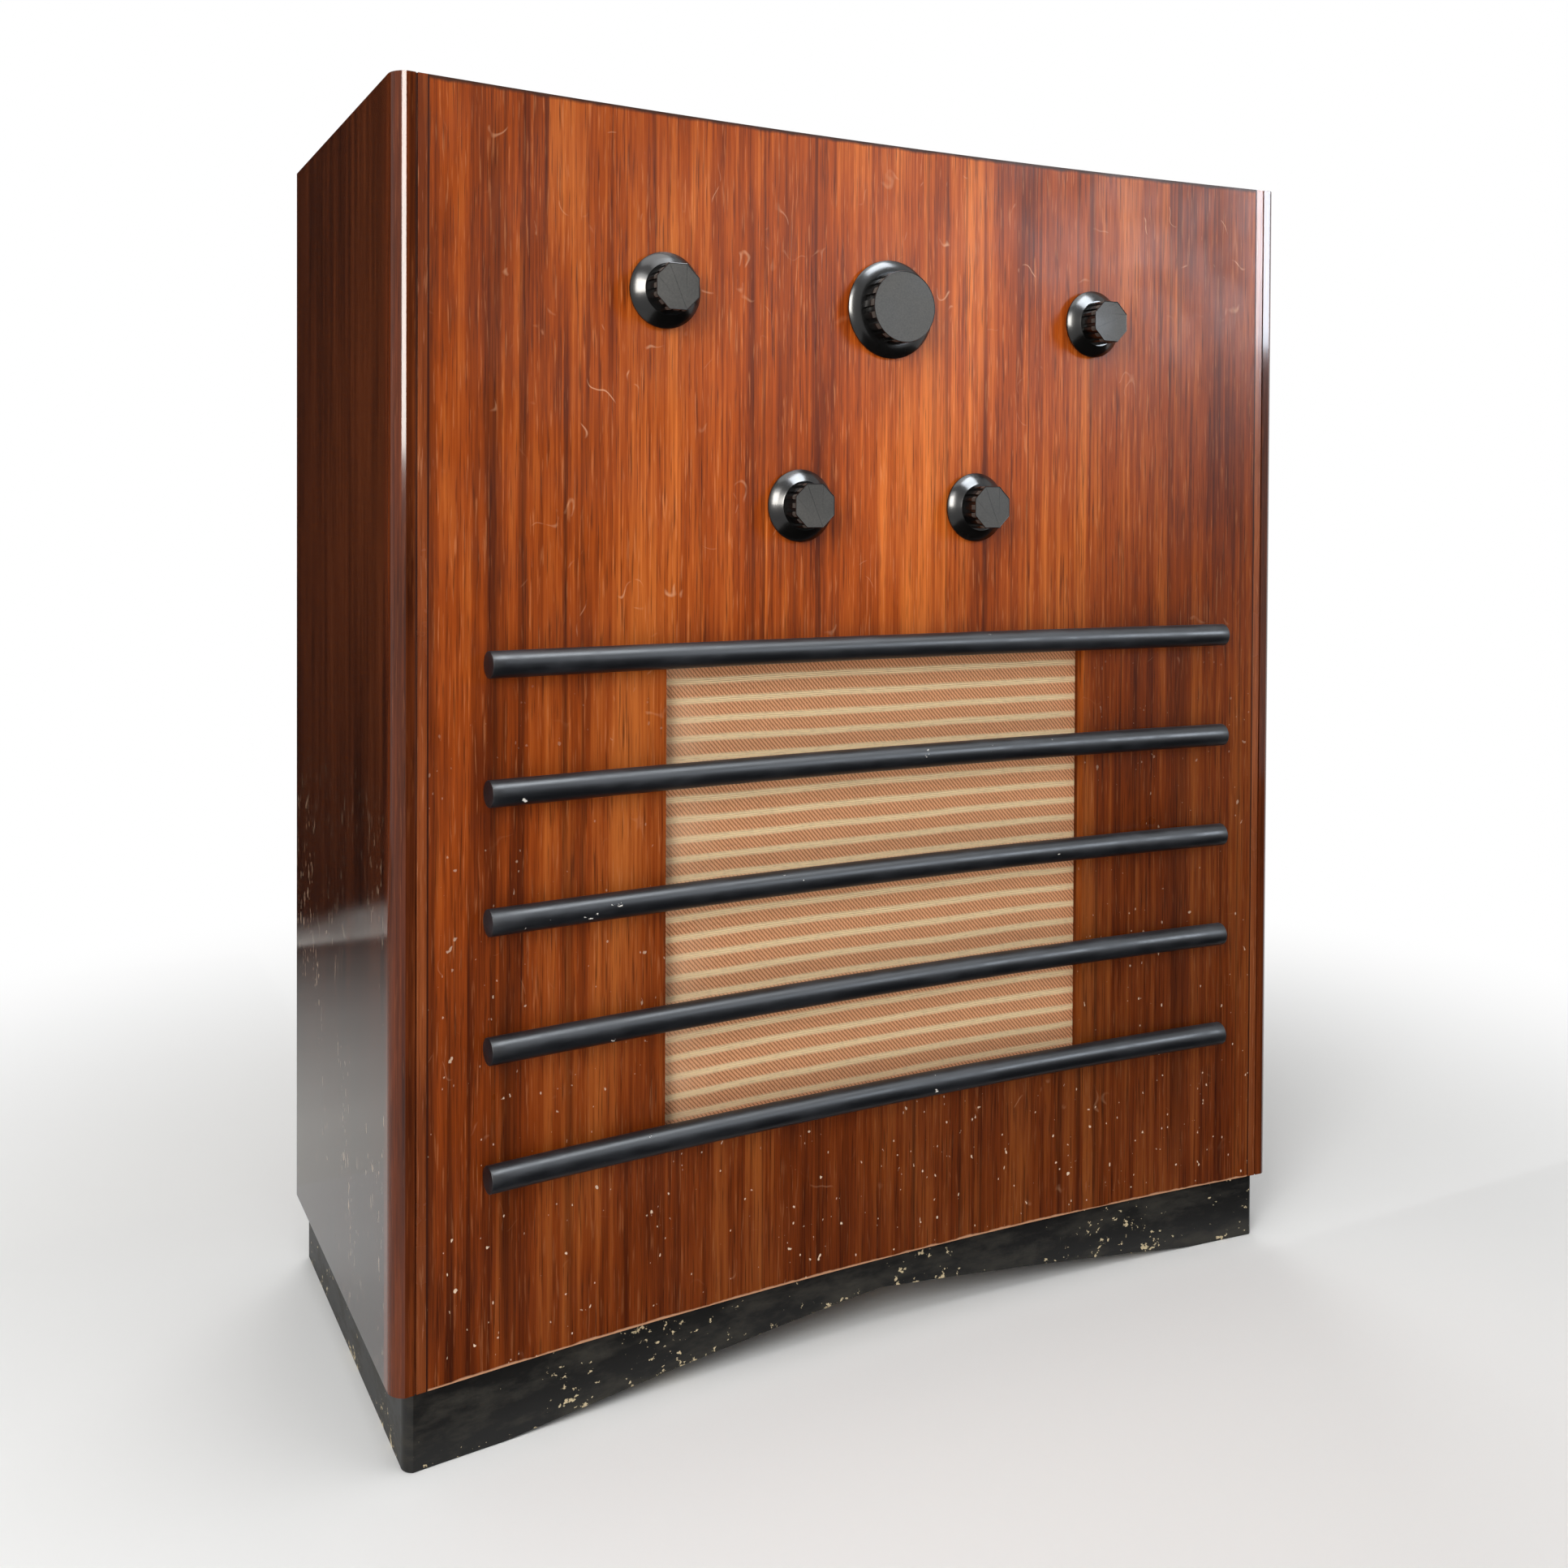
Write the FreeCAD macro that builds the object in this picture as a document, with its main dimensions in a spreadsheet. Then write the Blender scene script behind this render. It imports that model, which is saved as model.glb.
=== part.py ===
import FreeCAD, Part
import os
import re

import Sketcher

# Radiogram in a concave-fronted cabinet, millimetres.
# X runs to the right, Y from front to back, Z up; the plinth stands on Z = 0.

doc = FreeCAD.newDocument("radiogram")
sheet = doc.addObject("Spreadsheet::Sheet", "Sizes")

driving_sizes = [
    # cabinet outside
    ("cabinet_width", 840), ("cabinet_depth", 373), ("cabinet_height", 1000), ("front_sag", 22),
    ("plinth_height", 60), ("plinth_wall", 18), ("plinth_inset_side", 11), ("plinth_inset_front", 7),
    ("plinth_rounding", 10), ("foot_length", 76), ("apron_rise", 32),
    # boards
    ("side_wall", 18), ("panel_wall", 12), ("shelf_wall", 12), ("lid_wall", 18), ("rail_wall", 18),
    ("baffle_wall", 12), ("back_wall", 6), ("back_inset", 4), ("fit_gap", 0.3),
    ("post_depth", 25), ("post_rounding", 15), ("lipping_width", 7), ("groove_width", 3),
    # levels inside
    ("well_depth", 84), ("receiver_room", 234), ("lid_gap", 1.5),
    # loudspeaker opening and its rods
    ("grille_half_width", 204), ("grille_drop", 60), ("rod_pitch", 93.5),
    ("rod_radius", 10), ("rod_half_span", 351), ("cloth_wall", 1), ("cloth_margin", 10),
    # loudspeaker
    ("speaker_radius", 127), ("cone_radius", 112), ("basket_depth", 64), ("basket_wall", 2),
    ("magnet_radius", 50), ("magnet_length", 45), ("coil_radius", 25),
    # knobs
    ("upper_knob_drop", 24), ("lower_knob_rise", 45), ("outer_knob_x", 208), ("inner_knob_x", 86),
    ("knob_gap", 1), ("small_skirt_radius", 29.5), ("small_shoulder_radius", 21.5),
    ("small_grip_radius", 19.2), ("small_skirt_height", 10), ("small_knob_height", 27),
    ("small_flutes", 8), ("small_flute_radius", 14), ("small_flute_depth", 1.5), ("large_skirt_radius", 41),
    ("large_shoulder_radius", 34), ("large_grip_radius", 29.5), ("large_skirt_height", 7),
    ("large_knob_height", 24), ("large_flutes", 18), ("large_flute_radius", 2.6), ("large_flute_depth", 2),
    ("small_plain_rim", 0), ("large_plain_rim", 2), ("skirt_rim", 3), ("face_rounding", 1), ("spindle_radius", 3), ("running_gap", 0.05),
    ("spindle_seat", 15), ("panel_hole_radius", 6),
    # receiver
    ("chassis_half_width", 250), ("chassis_front", 52), ("chassis_length", 238), ("chassis_height", 70),
    ("chassis_wall", 1.5), ("plate_wall", 2), ("control_radius", 18), ("control_length", 26),
    ("valve_radius", 18), ("valve_height", 92), ("valve_pitch", 62), ("can_radius", 17), ("can_height", 62),
    ("transformer_width", 92), ("transformer_height", 84), ("gang_size", 62), ("gang_height", 84),
    # dial on the motor board
    ("dial_x", 225), ("dial_back", 125), ("dial_window_radius", 44), ("dial_frame_radius", 58),
    ("dial_frame_height", 11), ("dial_plate_wall", 1.2), ("glass_wall", 2), ("pointer_wall", 1),
    ("dial_shaft_radius", 3),
    # gramophone
    ("platter_x", -190), ("platter_margin", 30), ("platter_radius", 127), ("platter_rim", 20),
    ("platter_lift", 6), ("platter_wall", 3), ("mat_wall", 2), ("record_spindle_radius", 3.6),
    ("spindle_top", 12), ("platter_hub_radius", 42), ("motor_hole_radius", 14),
    ("motor_radius", 52), ("motor_height", 54),
    ("pickup_x", 12), ("pickup_margin", 48), ("arm_length", 215), ("arm_radius", 6), ("arm_level", 49),
    ("pickup_base_radius", 27), ("pillar_radius", 13), ("turret_radius", 17), ("lever_x", 62),
    ("lever_back", 66), ("lever_length", 42), ("lever_pin_radius", 3), ("lever_pin_depth", 8),
    ("lever_boss_radius", 9), ("lever_boss_height", 8), ("lever_wall", 3), ("lever_grip_radius", 6),
    ("lever_grip_height", 12), ("base_flange", 4), ("base_step", 7), ("turret_pin_radius", 5),
    ("turret_pin_length", 20), ("turret_height", 10), ("lug_width", 12), ("arm_pin_radius", 2.5),
    ("ear_wall", 4), ("ear_length", 18), ("ear_rear", 6), ("bridge_wall", 7), ("head_length", 42),
    ("head_half_width", 11), ("head_above", 8), ("head_below", 11), ("head_overhang", 12),
    ("needle_radius", 0.8), ("needle_lift", 2.5), ("rest_foot_radius", 11), ("rest_stem_radius", 4),
    ("rest_pad_radius", 9), ("rest_pad_wall", 3),
    # sockets at the back
    ("connector_width", 150), ("connector_height", 50), ("connector_wall", 2), ("connector_drop", 20),
    ("socket_radius", 2.5), ("socket_pitch", 22), ("inlet_radius", 6), ("inlet_x", 50),
    # lid hinges
    ("knuckle_radius", 3), ("pin_radius", 1.2), ("leaf_wall", 1.2), ("leaf_width", 14),
    ("hinge_length", 60), ("hinge_pitch", 300), ("knuckle_gap", 0.3),
    # screws
    ("screw_radius", 2), ("screw_length", 12), ("screw_head_radius", 4), ("screw_head_height", 2.4),
]

aliases = set()
for row, (alias, number) in enumerate(driving_sizes, start=1):
    sheet.set(f"A{row}", alias)
    sheet.set(f"B{row}", str(number))
    sheet.setAlias(f"B{row}", alias)
    aliases.add(alias)
doc.recompute()

nodes = []


def linked(text):
    """A size written with the sheet's words, as an expression of the document."""
    return re.sub(r"[a-z_]+", lambda word: f"Sizes.{word[0]}" if word[0] in aliases else word[0], str(text))


def number(text):
    """The value of a size written with the sheet's words."""
    return float(sheet.evalExpression(linked(text)))


def bind(thing, **sizes):
    for name, text in sizes.items():
        thing.setExpression(name, linked(text))


def seat(thing, place, turn=None):
    """Turns a thing, then ties its place to the sheet."""
    if turn:
        thing.Placement = FreeCAD.Placement(FreeCAD.Vector(), FreeCAD.Rotation(*turn))
    for axis, text in zip("xyz", place):
        thing.setExpression(f"Placement.Base.{axis}", linked(text))
    return thing


def node(thing, name):
    thing.Label = name
    nodes.append(thing)
    return thing


def block(low, high):
    """A box between two corners."""
    thing = doc.addObject("Part::Box", "block")
    bind(thing, Length=f"({high[0]}) - ({low[0]})", Width=f"({high[1]}) - ({low[1]})",
         Height=f"({high[2]}) - ({low[2]})")
    return seat(thing, low)


to_back = (FreeCAD.Vector(1, 0, 0), -90)
to_front = (FreeCAD.Vector(1, 0, 0), 90)
to_right = (FreeCAD.Vector(0, 1, 0), 90)


def drum(place, radius, length, turn=None):
    """A cylinder that starts at a place and runs up, or along its turn."""
    thing = doc.addObject("Part::Cylinder", "drum")
    bind(thing, Radius=radius, Height=length)
    return seat(thing, place, turn)


def joined(*shapes):
    thing = doc.addObject("Part::MultiFuse", "joined")
    thing.Shapes = list(shapes)
    return thing


def less(base, *tools):
    thing = doc.addObject("Part::Cut", "less")
    thing.Base = base
    thing.Tool = tools[0] if len(tools) == 1 else joined(*tools)
    return thing


def shared(first, second):
    thing = doc.addObject("Part::Common", "shared")
    thing.Base = first
    thing.Tool = second
    return thing


def collected(*shapes):
    thing = doc.addObject("Part::Compound", "collected")
    thing.Links = list(shapes)
    return thing


def base_plane(body, role):
    return next(feature for feature in body.Origin.OriginFeatures if feature.Role == role)


def outline_sketch(body, corners):
    """A closed outline on the body's XZ plane, each corner tied to the sheet."""
    sketch = body.newObject("Sketcher::SketchObject", "outline")
    sketch.AttachmentSupport = (base_plane(body, "XZ_Plane"), [""])
    sketch.MapMode = "FlatFace"
    points = [FreeCAD.Vector(number(across), number(up), 0) for across, up in corners]
    for index, point in enumerate(points):
        sketch.addGeometry(Part.LineSegment(point, points[(index + 1) % len(points)]), False)
    for index in range(len(points)):
        following = (index + 1) % len(points)
        sketch.addConstraint(Sketcher.Constraint("Coincident", index, 2, following, 1))
    for index, (across, up) in enumerate(corners):
        for kind, text in (("DistanceX", across), ("DistanceY", up)):
            place = sketch.addConstraint(Sketcher.Constraint(kind, -1, 1, index, 1, number(text)))
            sketch.setExpression(f"Constraints[{place}]", linked(text))
    return sketch


def turned(corners, name="turned"):
    """A body revolved about its own Z axis from an outline of radius and height."""
    body = doc.addObject("PartDesign::Body", name)
    sketch = outline_sketch(body, corners)
    turning = body.newObject("PartDesign::Revolution", "turning")
    turning.Profile = sketch
    turning.ReferenceAxis = (sketch, ["V_Axis"])
    turning.Angle = 360
    return body


def flutes(body, count, radius, centre, top, length):
    """Grooves down the side of a grip, spaced evenly round it."""
    sketch = body.newObject("Sketcher::SketchObject", "flute")
    sketch.AttachmentSupport = (base_plane(body, "XY_Plane"), [""])
    sketch.MapMode = "FlatFace"
    sketch.setExpression("AttachmentOffset.Base.z", linked(top))
    middle = FreeCAD.Vector(number(centre), 0, 0)
    sketch.addGeometry(Part.Circle(middle, FreeCAD.Vector(0, 0, 1), number(radius)), False)
    sketch.addConstraint(Sketcher.Constraint("PointOnObject", 0, 3, -1))
    across = sketch.addConstraint(Sketcher.Constraint("DistanceX", -1, 1, 0, 3, number(centre)))
    sketch.setExpression(f"Constraints[{across}]", linked(centre))
    size = sketch.addConstraint(Sketcher.Constraint("Radius", 0, number(radius)))
    sketch.setExpression(f"Constraints[{size}]", linked(radius))
    pocket = body.newObject("PartDesign::Pocket", "flute_cut")
    pocket.Profile = sketch
    bind(pocket, Length=length)
    pattern = body.newObject("PartDesign::PolarPattern", "flute_ring")
    pattern.Originals = [pocket]
    pattern.Axis = (sketch, ["N_Axis"])
    pattern.Angle = 360
    bind(pattern, Occurrences=count)
    body.Tip = pattern


# The concave front is part of one large cylinder standing in front of the cabinet.
half_width = "(cabinet_width/2)"
arc_radius = f"(({half_width}^2 + front_sag^2)/(2*front_sag))"
rod_line_radius = f"({arc_radius} - rod_radius - fit_gap)"
rod_reach = f"sqrt(1 - (rod_half_span/{rod_line_radius})^2)"
rod_proud = f"({arc_radius} - front_sag - ({rod_line_radius} - rod_radius)*{rod_reach})"
rim_reach = "(outer_knob_x + small_skirt_radius)"
rim_sag = f"(front_sag - {arc_radius} + sqrt({arc_radius}^2 - {rim_reach}^2))"
knob_proud = f"(small_knob_height + knob_gap - {rim_sag})"
front = f"((max({rod_proud}; {knob_proud}) - cabinet_depth)/2)"
arc_centre = f"({front} + front_sag - {arc_radius})"


def front_face(across):
    """Where the front's surface stands at a distance from the middle."""
    return f"({arc_centre} + sqrt({arc_radius}^2 - ({across})^2))"


def front_drum(setback, low="0 - 10", high="cabinet_height + 10"):
    """The cylinder that the front follows, grown by a setback."""
    return drum(("0", arc_centre, low), f"{arc_radius} + {setback}", f"({high}) - ({low})")


back = f"({front} + cabinet_depth)"
inner_half = f"({half_width} - side_wall)"
panel_half = f"({inner_half} - lipping_width)"
cover_front = f"({back} - back_inset - back_wall)"
cabinet_top = "cabinet_height"
lid_bottom = "(cabinet_height - lid_wall)"
deck_top = f"({lid_bottom} - well_depth)"
deck_bottom = f"({deck_top} - shelf_wall)"
floor_top = "(plinth_height + shelf_wall)"
shelf_top = f"({deck_bottom} - receiver_room)"
shelf_bottom = f"({shelf_top} - shelf_wall)"
panel_back_middle = f"({front} + front_sag + panel_wall)"
baffle_front = f"({panel_back_middle} + cloth_wall + fit_gap)"
baffle_back = f"({baffle_front} + baffle_wall)"
grille_top = f"({shelf_bottom} - grille_drop)"
grille_bottom = f"({grille_top} - 4*rod_pitch)"
speaker_level = f"({grille_top} - 2*rod_pitch)"
plate_front = f"({front} + chassis_front - plate_wall)"
chassis_face = f"({front} + chassis_front)"
chassis_top = f"({shelf_top} + chassis_height)"
hinge_line = f"({back} - rail_wall - knuckle_radius - 2*knuckle_gap)"
hinge_level = "(cabinet_height - knuckle_radius)"
leaf_near = "(knuckle_radius + knuckle_gap)"
leaf_floor = "(cabinet_height - leaf_wall)"
hinge_places = ["(0 - hinge_pitch)", "0", "hinge_pitch"]
platter_y = f"({back} - rail_wall - platter_margin - platter_radius)"
platter_bottom = f"({deck_top} + platter_lift)"
platter_top = f"({platter_bottom} + platter_rim)"
mat_top = f"({platter_top} + mat_wall)"
pickup_y = f"({back} - rail_wall - pickup_margin)"
dial_y = f"({front} + dial_back)"
lever_y = f"({front} + lever_back)"
arm_height = f"({deck_top} + arm_level)"

upper_row = f"({deck_bottom} - upper_knob_drop)"
lower_row = f"({shelf_top} + lower_knob_rise)"
knobs = {
    "volume": ("(0 - outer_knob_x)", upper_row, "small"),
    "tuning": ("0", upper_row, "large"),
    "tone": ("outer_knob_x", upper_row, "small"),
    "waveband": ("(0 - inner_knob_x)", lower_row, "small"),
    "gram": ("inner_knob_x", lower_row, "small"),
}

# Screws of the back cover sit in two rows, those of the loudspeaker in a ring of four.
screw_pitch = "(cabinet_width/4)"
cover_screws = [(f"({step}*{screw_pitch}/2)", level)
                for level in ("(plinth_height + shelf_wall/2)", f"({shelf_top} - shelf_wall/2)")
                for step in (-3, -1, 1, 3)]
ring_place = "((speaker_radius + cone_radius)/2*sqrt(0.5))"
speaker_screws = [(f"({side}*{ring_place})", f"({speaker_level} + {rise}*{ring_place})")
                  for side in (-1, 1) for rise in (-1, 1)]


def screw_holes(places, start, length, radius="screw_radius + running_gap"):
    """Drilled holes for screws that go in from the back."""
    return [drum((across, start, level), radius, length, to_back) for across, level in places]


def make_cabinet():
    shell_low = "plinth_height"
    for name, side in (("left", -1), ("right", 1)):
        outer = f"({side}*{half_width})"
        inner = f"({side}*{inner_half})"
        low, high = (outer, inner) if side < 0 else (inner, outer)
        node(block((low, f"{front} + post_depth", shell_low), (high, back, cabinet_top)), f"side_{name}")
        post = block((low, front, shell_low), (high, f"{front} + post_depth", cabinet_top))
        # The outer front edge of the post is rounded: a square corner goes, a quarter round stays.
        edge = f"({side}*({half_width} - post_rounding))"
        corner_low, corner_high = (outer, edge) if side < 0 else (edge, outer)
        corner = block((f"{corner_low} - {1 if side < 0 else 0}", f"{front} - 1", "0"),
                       (f"{corner_high} + {1 if side > 0 else 0}", f"{front} + post_rounding",
                        "cabinet_height + 1"))
        rounding = drum((edge, f"{front} + post_rounding", "0"), "post_rounding", "cabinet_height + 1")
        groove = block((f"{inner} - groove_width/2", f"{front_face(inner_half)} - groove_width/2", "0"),
                       (f"{inner} + groove_width/2", f"{front_face(inner_half)} + groove_width/2",
                        "cabinet_height + 1"))
        node(less(post, less(corner, rounding), front_drum("0"), groove), f"corner_post_{name}")

    lippings = []
    for side in (-1, 1):
        near, far = f"({side}*{panel_half})", f"({side}*{inner_half})"
        low, high = (far, near) if side < 0 else (near, far)
        strip = block((low, front, shell_low), (high, f"{back}", cabinet_top))
        lippings.append(less(shared(strip, front_drum("panel_wall")), front_drum("0")))
    node(collected(*lippings), "front_lippings")

    board = block((f"0 - {panel_half}", front, shell_low), (panel_half, back, cabinet_top))
    window = block(("0 - grille_half_width", front, grille_bottom),
                   ("grille_half_width", back, grille_top))
    holes = [drum((across, front, level), "panel_hole_radius", "front_sag + 2*panel_wall", to_back)
             for across, level, size in knobs.values()]
    curved = less(shared(board, front_drum("panel_wall")), front_drum("0"))
    node(less(curved, window, *holes), "front_panel")

    floor_board = block((f"0 - {inner_half}", front, "plinth_height"), (inner_half, cover_front, floor_top))
    shelf = block((f"0 - {inner_half}", front, shelf_bottom), (inner_half, cover_front, shelf_top))
    hole_start = f"{cover_front} - screw_length"
    node(less(floor_board, front_drum("panel_wall"),
              *screw_holes(cover_screws[:4], hole_start, "screw_length + 1")), "bottom_board")
    node(less(shelf, front_drum("panel_wall"),
              *screw_holes(cover_screws[4:], hole_start, "screw_length + 1")), "chassis_shelf")

    deck = block((f"0 - {inner_half}", front, deck_bottom),
                 (inner_half, f"{back} - rail_wall", deck_top))
    motor_hole = drum(("platter_x", platter_y, deck_bottom), "motor_hole_radius", "shelf_wall")
    dial_hole = drum(("dial_x", dial_y, deck_bottom), "dial_shaft_radius + 1", "shelf_wall")
    lever_hole = drum(("lever_x", lever_y, f"{deck_top} - lever_pin_depth - 1"),
                      "lever_pin_radius + running_gap", "lever_pin_depth + 2")
    node(less(deck, front_drum("panel_wall"), motor_hole, dial_hole, lever_hole), "motor_board")

    baffle = block((f"0 - {inner_half}", baffle_front, floor_top), (inner_half, baffle_back, shelf_bottom))
    mouth = drum(("0", baffle_front, speaker_level), "cone_radius", "baffle_wall", to_back)
    node(less(baffle, mouth, *screw_holes(speaker_screws, f"{baffle_back} - screw_length + 1", "screw_length")),
         "baffle_board")

    slots = []
    slot_step = "(cabinet_width/12)"
    for level in (speaker_level, chassis_top):
        for count in range(-4, 5):
            middle = f"({count}*{slot_step})"
            slots.append(block((f"{middle} - 4", cover_front, level),
                               (f"{middle} + 4", f"{cover_front} + back_wall", f"{level} + 60")))
    cover = block((f"0 - {inner_half}", cover_front, "plinth_height"),
                  (inner_half, f"{cover_front} + back_wall", deck_bottom))
    node(less(cover, *slots, *screw_holes(cover_screws, cover_front, "back_wall")), "back_cover")


def make_plinth():
    inner_side = f"({half_width} - plinth_inset_side)"
    plinth_front = f"({front} + plinth_inset_front)"
    wall_back = f"({back} - plinth_wall)"
    bow = block((f"0 - {inner_side}", front, "0"), (inner_side, back, "plinth_height"))
    bow = shared(bow, front_drum("plinth_inset_front + plinth_wall"))
    # Its lower edge stands on a foot at each end and rises in two straight slopes to the middle.
    apron = doc.addObject("PartDesign::Body", "apron")
    sketch = outline_sketch(apron, [(f"foot_length - {inner_side}", "0 - 1"), (f"{inner_side} - foot_length", "0 - 1"),
                                    (f"{inner_side} - foot_length", "0"), ("0", "apron_rise"),
                                    (f"foot_length - {inner_side}", "0")])
    cut = apron.newObject("PartDesign::Pad", "apron_cut")
    cut.Profile = sketch
    cut.Midplane = True
    bind(cut, Length="2*cabinet_depth")
    # The two outer corners are rounded as the posts above them are.
    corners = []
    for side in (-1, 1):
        edge = f"({side}*({inner_side} - plinth_rounding))"
        outer = f"({side}*({inner_side} + 1))"
        low, high = (outer, edge) if side < 0 else (edge, outer)
        tip = f"({front_face(inner_side)} + plinth_inset_front)"
        square = block((low, front, "0 - 1"), (high, f"{tip} + plinth_rounding", "plinth_height + 1"))
        round_edge = drum((edge, f"{tip} + plinth_rounding", "0 - 1"), "plinth_rounding", "plinth_height + 2")
        corners.append(less(square, round_edge))
    node(less(bow, front_drum("plinth_inset_front"), apron, *corners), "plinth_front")
    for name, side in (("left", -1), ("right", 1)):
        outer = f"({side}*{inner_side})"
        inner = f"({side}*({inner_side} - plinth_wall))"
        low, high = (outer, inner) if side < 0 else (inner, outer)
        board = block((low, plinth_front, "0"), (high, back, "plinth_height"))
        node(less(board, front_drum("plinth_inset_front + plinth_wall")), f"plinth_{name}")
    node(block((f"plinth_wall - {inner_side}", wall_back, "0"),
               (f"{inner_side} - plinth_wall", back, "plinth_height")), "plinth_rear")


def make_lid():
    lid_half = f"({inner_half} - lid_gap)"
    lid_back = f"({hinge_line} - {leaf_near} - knuckle_gap)"
    board = block((f"0 - {lid_half}", front, lid_bottom), (lid_half, lid_back, cabinet_top))
    rail = block((f"0 - {inner_half}", f"{back} - rail_wall", deck_bottom), (inner_half, back, cabinet_top))
    half_hinge = "(hinge_length/2 + knuckle_gap)"
    seats = {}
    for side in (-1, 1):
        seats[side] = []
        for place in hinge_places:
            near, far = (f"{hinge_line} + {side}*{leaf_near}",
                         f"{hinge_line} + {side}*({leaf_near} + leaf_width + knuckle_gap)")
            low, high = (far, near) if side < 0 else (near, far)
            seats[side].append(block((f"{place} - {half_hinge}", low, leaf_floor),
                                     (f"{place} + {half_hinge}", high, "cabinet_height + 1")))
    node(less(board, front_drum("panel_wall + lid_gap"), *seats[-1]), "lid")
    node(less(rail, *seats[1]), "rear_rail")

    knuckle_count = 5
    knuckle = f"(hinge_length/{knuckle_count})"
    leaves = {-1: [], 1: []}
    for place in hinge_places:
        start = f"({place} - hinge_length/2)"
        bore = drum((f"{start} - 1", hinge_line, hinge_level), "pin_radius + running_gap",
                    "hinge_length + 2", to_right)
        for side in (-1, 1):
            near = f"({hinge_line} + {side}*{leaf_near})"
            far = f"({hinge_line} + {side}*({leaf_near} + leaf_width))"
            low, high = (far, near) if side < 0 else (near, far)
            parts = [block((start, low, leaf_floor), (f"{start} + hinge_length", high, cabinet_top))]
            own = range(0, knuckle_count, 2) if side > 0 else range(1, knuckle_count, 2)
            for index in own:
                left = f"({start} + {index}*{knuckle} + knuckle_gap/2)"
                length = f"{knuckle} - knuckle_gap"
                parts.append(drum((left, hinge_line, hinge_level), "knuckle_radius", length, to_right))
                low, high = (near, hinge_line) if side < 0 else (hinge_line, near)
                parts.append(block((left, low, leaf_floor), (f"{left} + {length}", high, cabinet_top)))
            leaves[side].append(less(joined(*parts), bore))
        leaves[1].append(drum((start, hinge_line, hinge_level), "pin_radius", "hinge_length", to_right))
    node(collected(*leaves[1]), "lid_hinge_fixed_leaves_and_pins")
    node(collected(*leaves[-1]), "lid_hinge_moving_leaves")


def make_grille():
    for index in range(5):
        level = f"({grille_top} - {index}*rod_pitch)"
        # Each rod is turned from a circle about the axis of the front's cylinder, then cut to length.
        body = doc.addObject("PartDesign::Body", "bent_rod")
        sketch = body.newObject("Sketcher::SketchObject", "rod_section")
        sketch.AttachmentSupport = (base_plane(body, "XZ_Plane"), [""])
        sketch.MapMode = "FlatFace"
        centre = FreeCAD.Vector(number(rod_line_radius), 0, 0)
        sketch.addGeometry(Part.Circle(centre, FreeCAD.Vector(0, 0, 1), number("rod_radius")), False)
        sketch.addConstraint(Sketcher.Constraint("PointOnObject", 0, 3, -1))
        out = sketch.addConstraint(Sketcher.Constraint("DistanceX", -1, 1, 0, 3, number(rod_line_radius)))
        sketch.setExpression(f"Constraints[{out}]", linked(rod_line_radius))
        size = sketch.addConstraint(Sketcher.Constraint("Radius", 0, number("rod_radius")))
        sketch.setExpression(f"Constraints[{size}]", linked("rod_radius"))
        turning = body.newObject("PartDesign::Revolution", "bend")
        turning.Profile = sketch
        turning.ReferenceAxis = (sketch, ["V_Axis"])
        turning.Midplane = True
        bind(turning, Angle=f"2*asin(rod_half_span/{rod_line_radius})")
        seat(body, ("0", arc_centre, level), (FreeCAD.Vector(0, 0, 1), 90))
        node(body, f"grille_rod_{index + 1}")

    sheet_half = "(grille_half_width + cloth_margin)"
    cloth = block((f"0 - {sheet_half}", front, f"{grille_bottom} - cloth_margin"),
                  (sheet_half, back, f"{grille_top} + cloth_margin"))
    cloth = shared(cloth, front_drum("panel_wall + cloth_wall"))
    node(less(cloth, front_drum("panel_wall")), "grille_cloth")


def make_speaker():
    seat_place = ("0", baffle_back, speaker_level)
    back_radius = "(magnet_radius + 2*basket_wall)"
    basket = turned([
        ("cone_radius", "0"), ("speaker_radius", "0"), ("speaker_radius", "basket_wall"),
        ("cone_radius + basket_wall", "basket_wall"), (f"{back_radius} + basket_wall", "basket_depth"),
        ("coil_radius", "basket_depth"), ("coil_radius", "basket_depth - basket_wall"),
        (back_radius, "basket_depth - basket_wall"),
    ])
    seat(basket, seat_place, to_back)
    drills = screw_holes(speaker_screws, baffle_back, "basket_wall")
    node(less(basket, *drills), "speaker_basket")

    rim = "(cone_radius - 6*fit_gap)"
    throat = "(basket_depth - basket_wall - 14)"
    cone = turned([
        (rim, "fit_gap"), (rim, "4*fit_gap"), (f"{rim} - 7", "4*fit_gap"), ("coil_radius", throat),
        ("0", throat), ("0", f"{throat} - 1"), ("coil_radius - 1", f"{throat} - 1"),
        (f"{rim} - 8", "fit_gap"),
    ])
    node(seat(cone, seat_place, to_back), "speaker_cone")

    magnet = turned([
        ("0", "basket_depth"), ("magnet_radius", "basket_depth"),
        ("magnet_radius", "basket_depth + magnet_length - 6"),
        ("magnet_radius - 6", "basket_depth + magnet_length"), ("0", "basket_depth + magnet_length"),
    ])
    node(seat(magnet, seat_place, to_back), "speaker_magnet")


def make_screws():
    """Like round-headed screws hold the back cover and the loudspeaker, driven in from the back."""
    screws = []
    for places, face in ((cover_screws, f"({cover_front} + back_wall)"),
                         (speaker_screws, f"({baffle_back} + basket_wall)")):
        for across, level in places:
            head = drum((across, face, level), "screw_head_radius", "screw_head_height", to_back)
            shank = drum((across, face, level), "screw_radius", "screw_length", to_front)
            screws.append(joined(head, shank))
    node(collected(*screws), "wood_screws")


def knob_seat(across, size):
    """Where a knob's back stands, clear of the curved panel under its rim."""
    return f"({front_face(f'abs({across}) + {size}_skirt_radius')} - knob_gap)"


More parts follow.
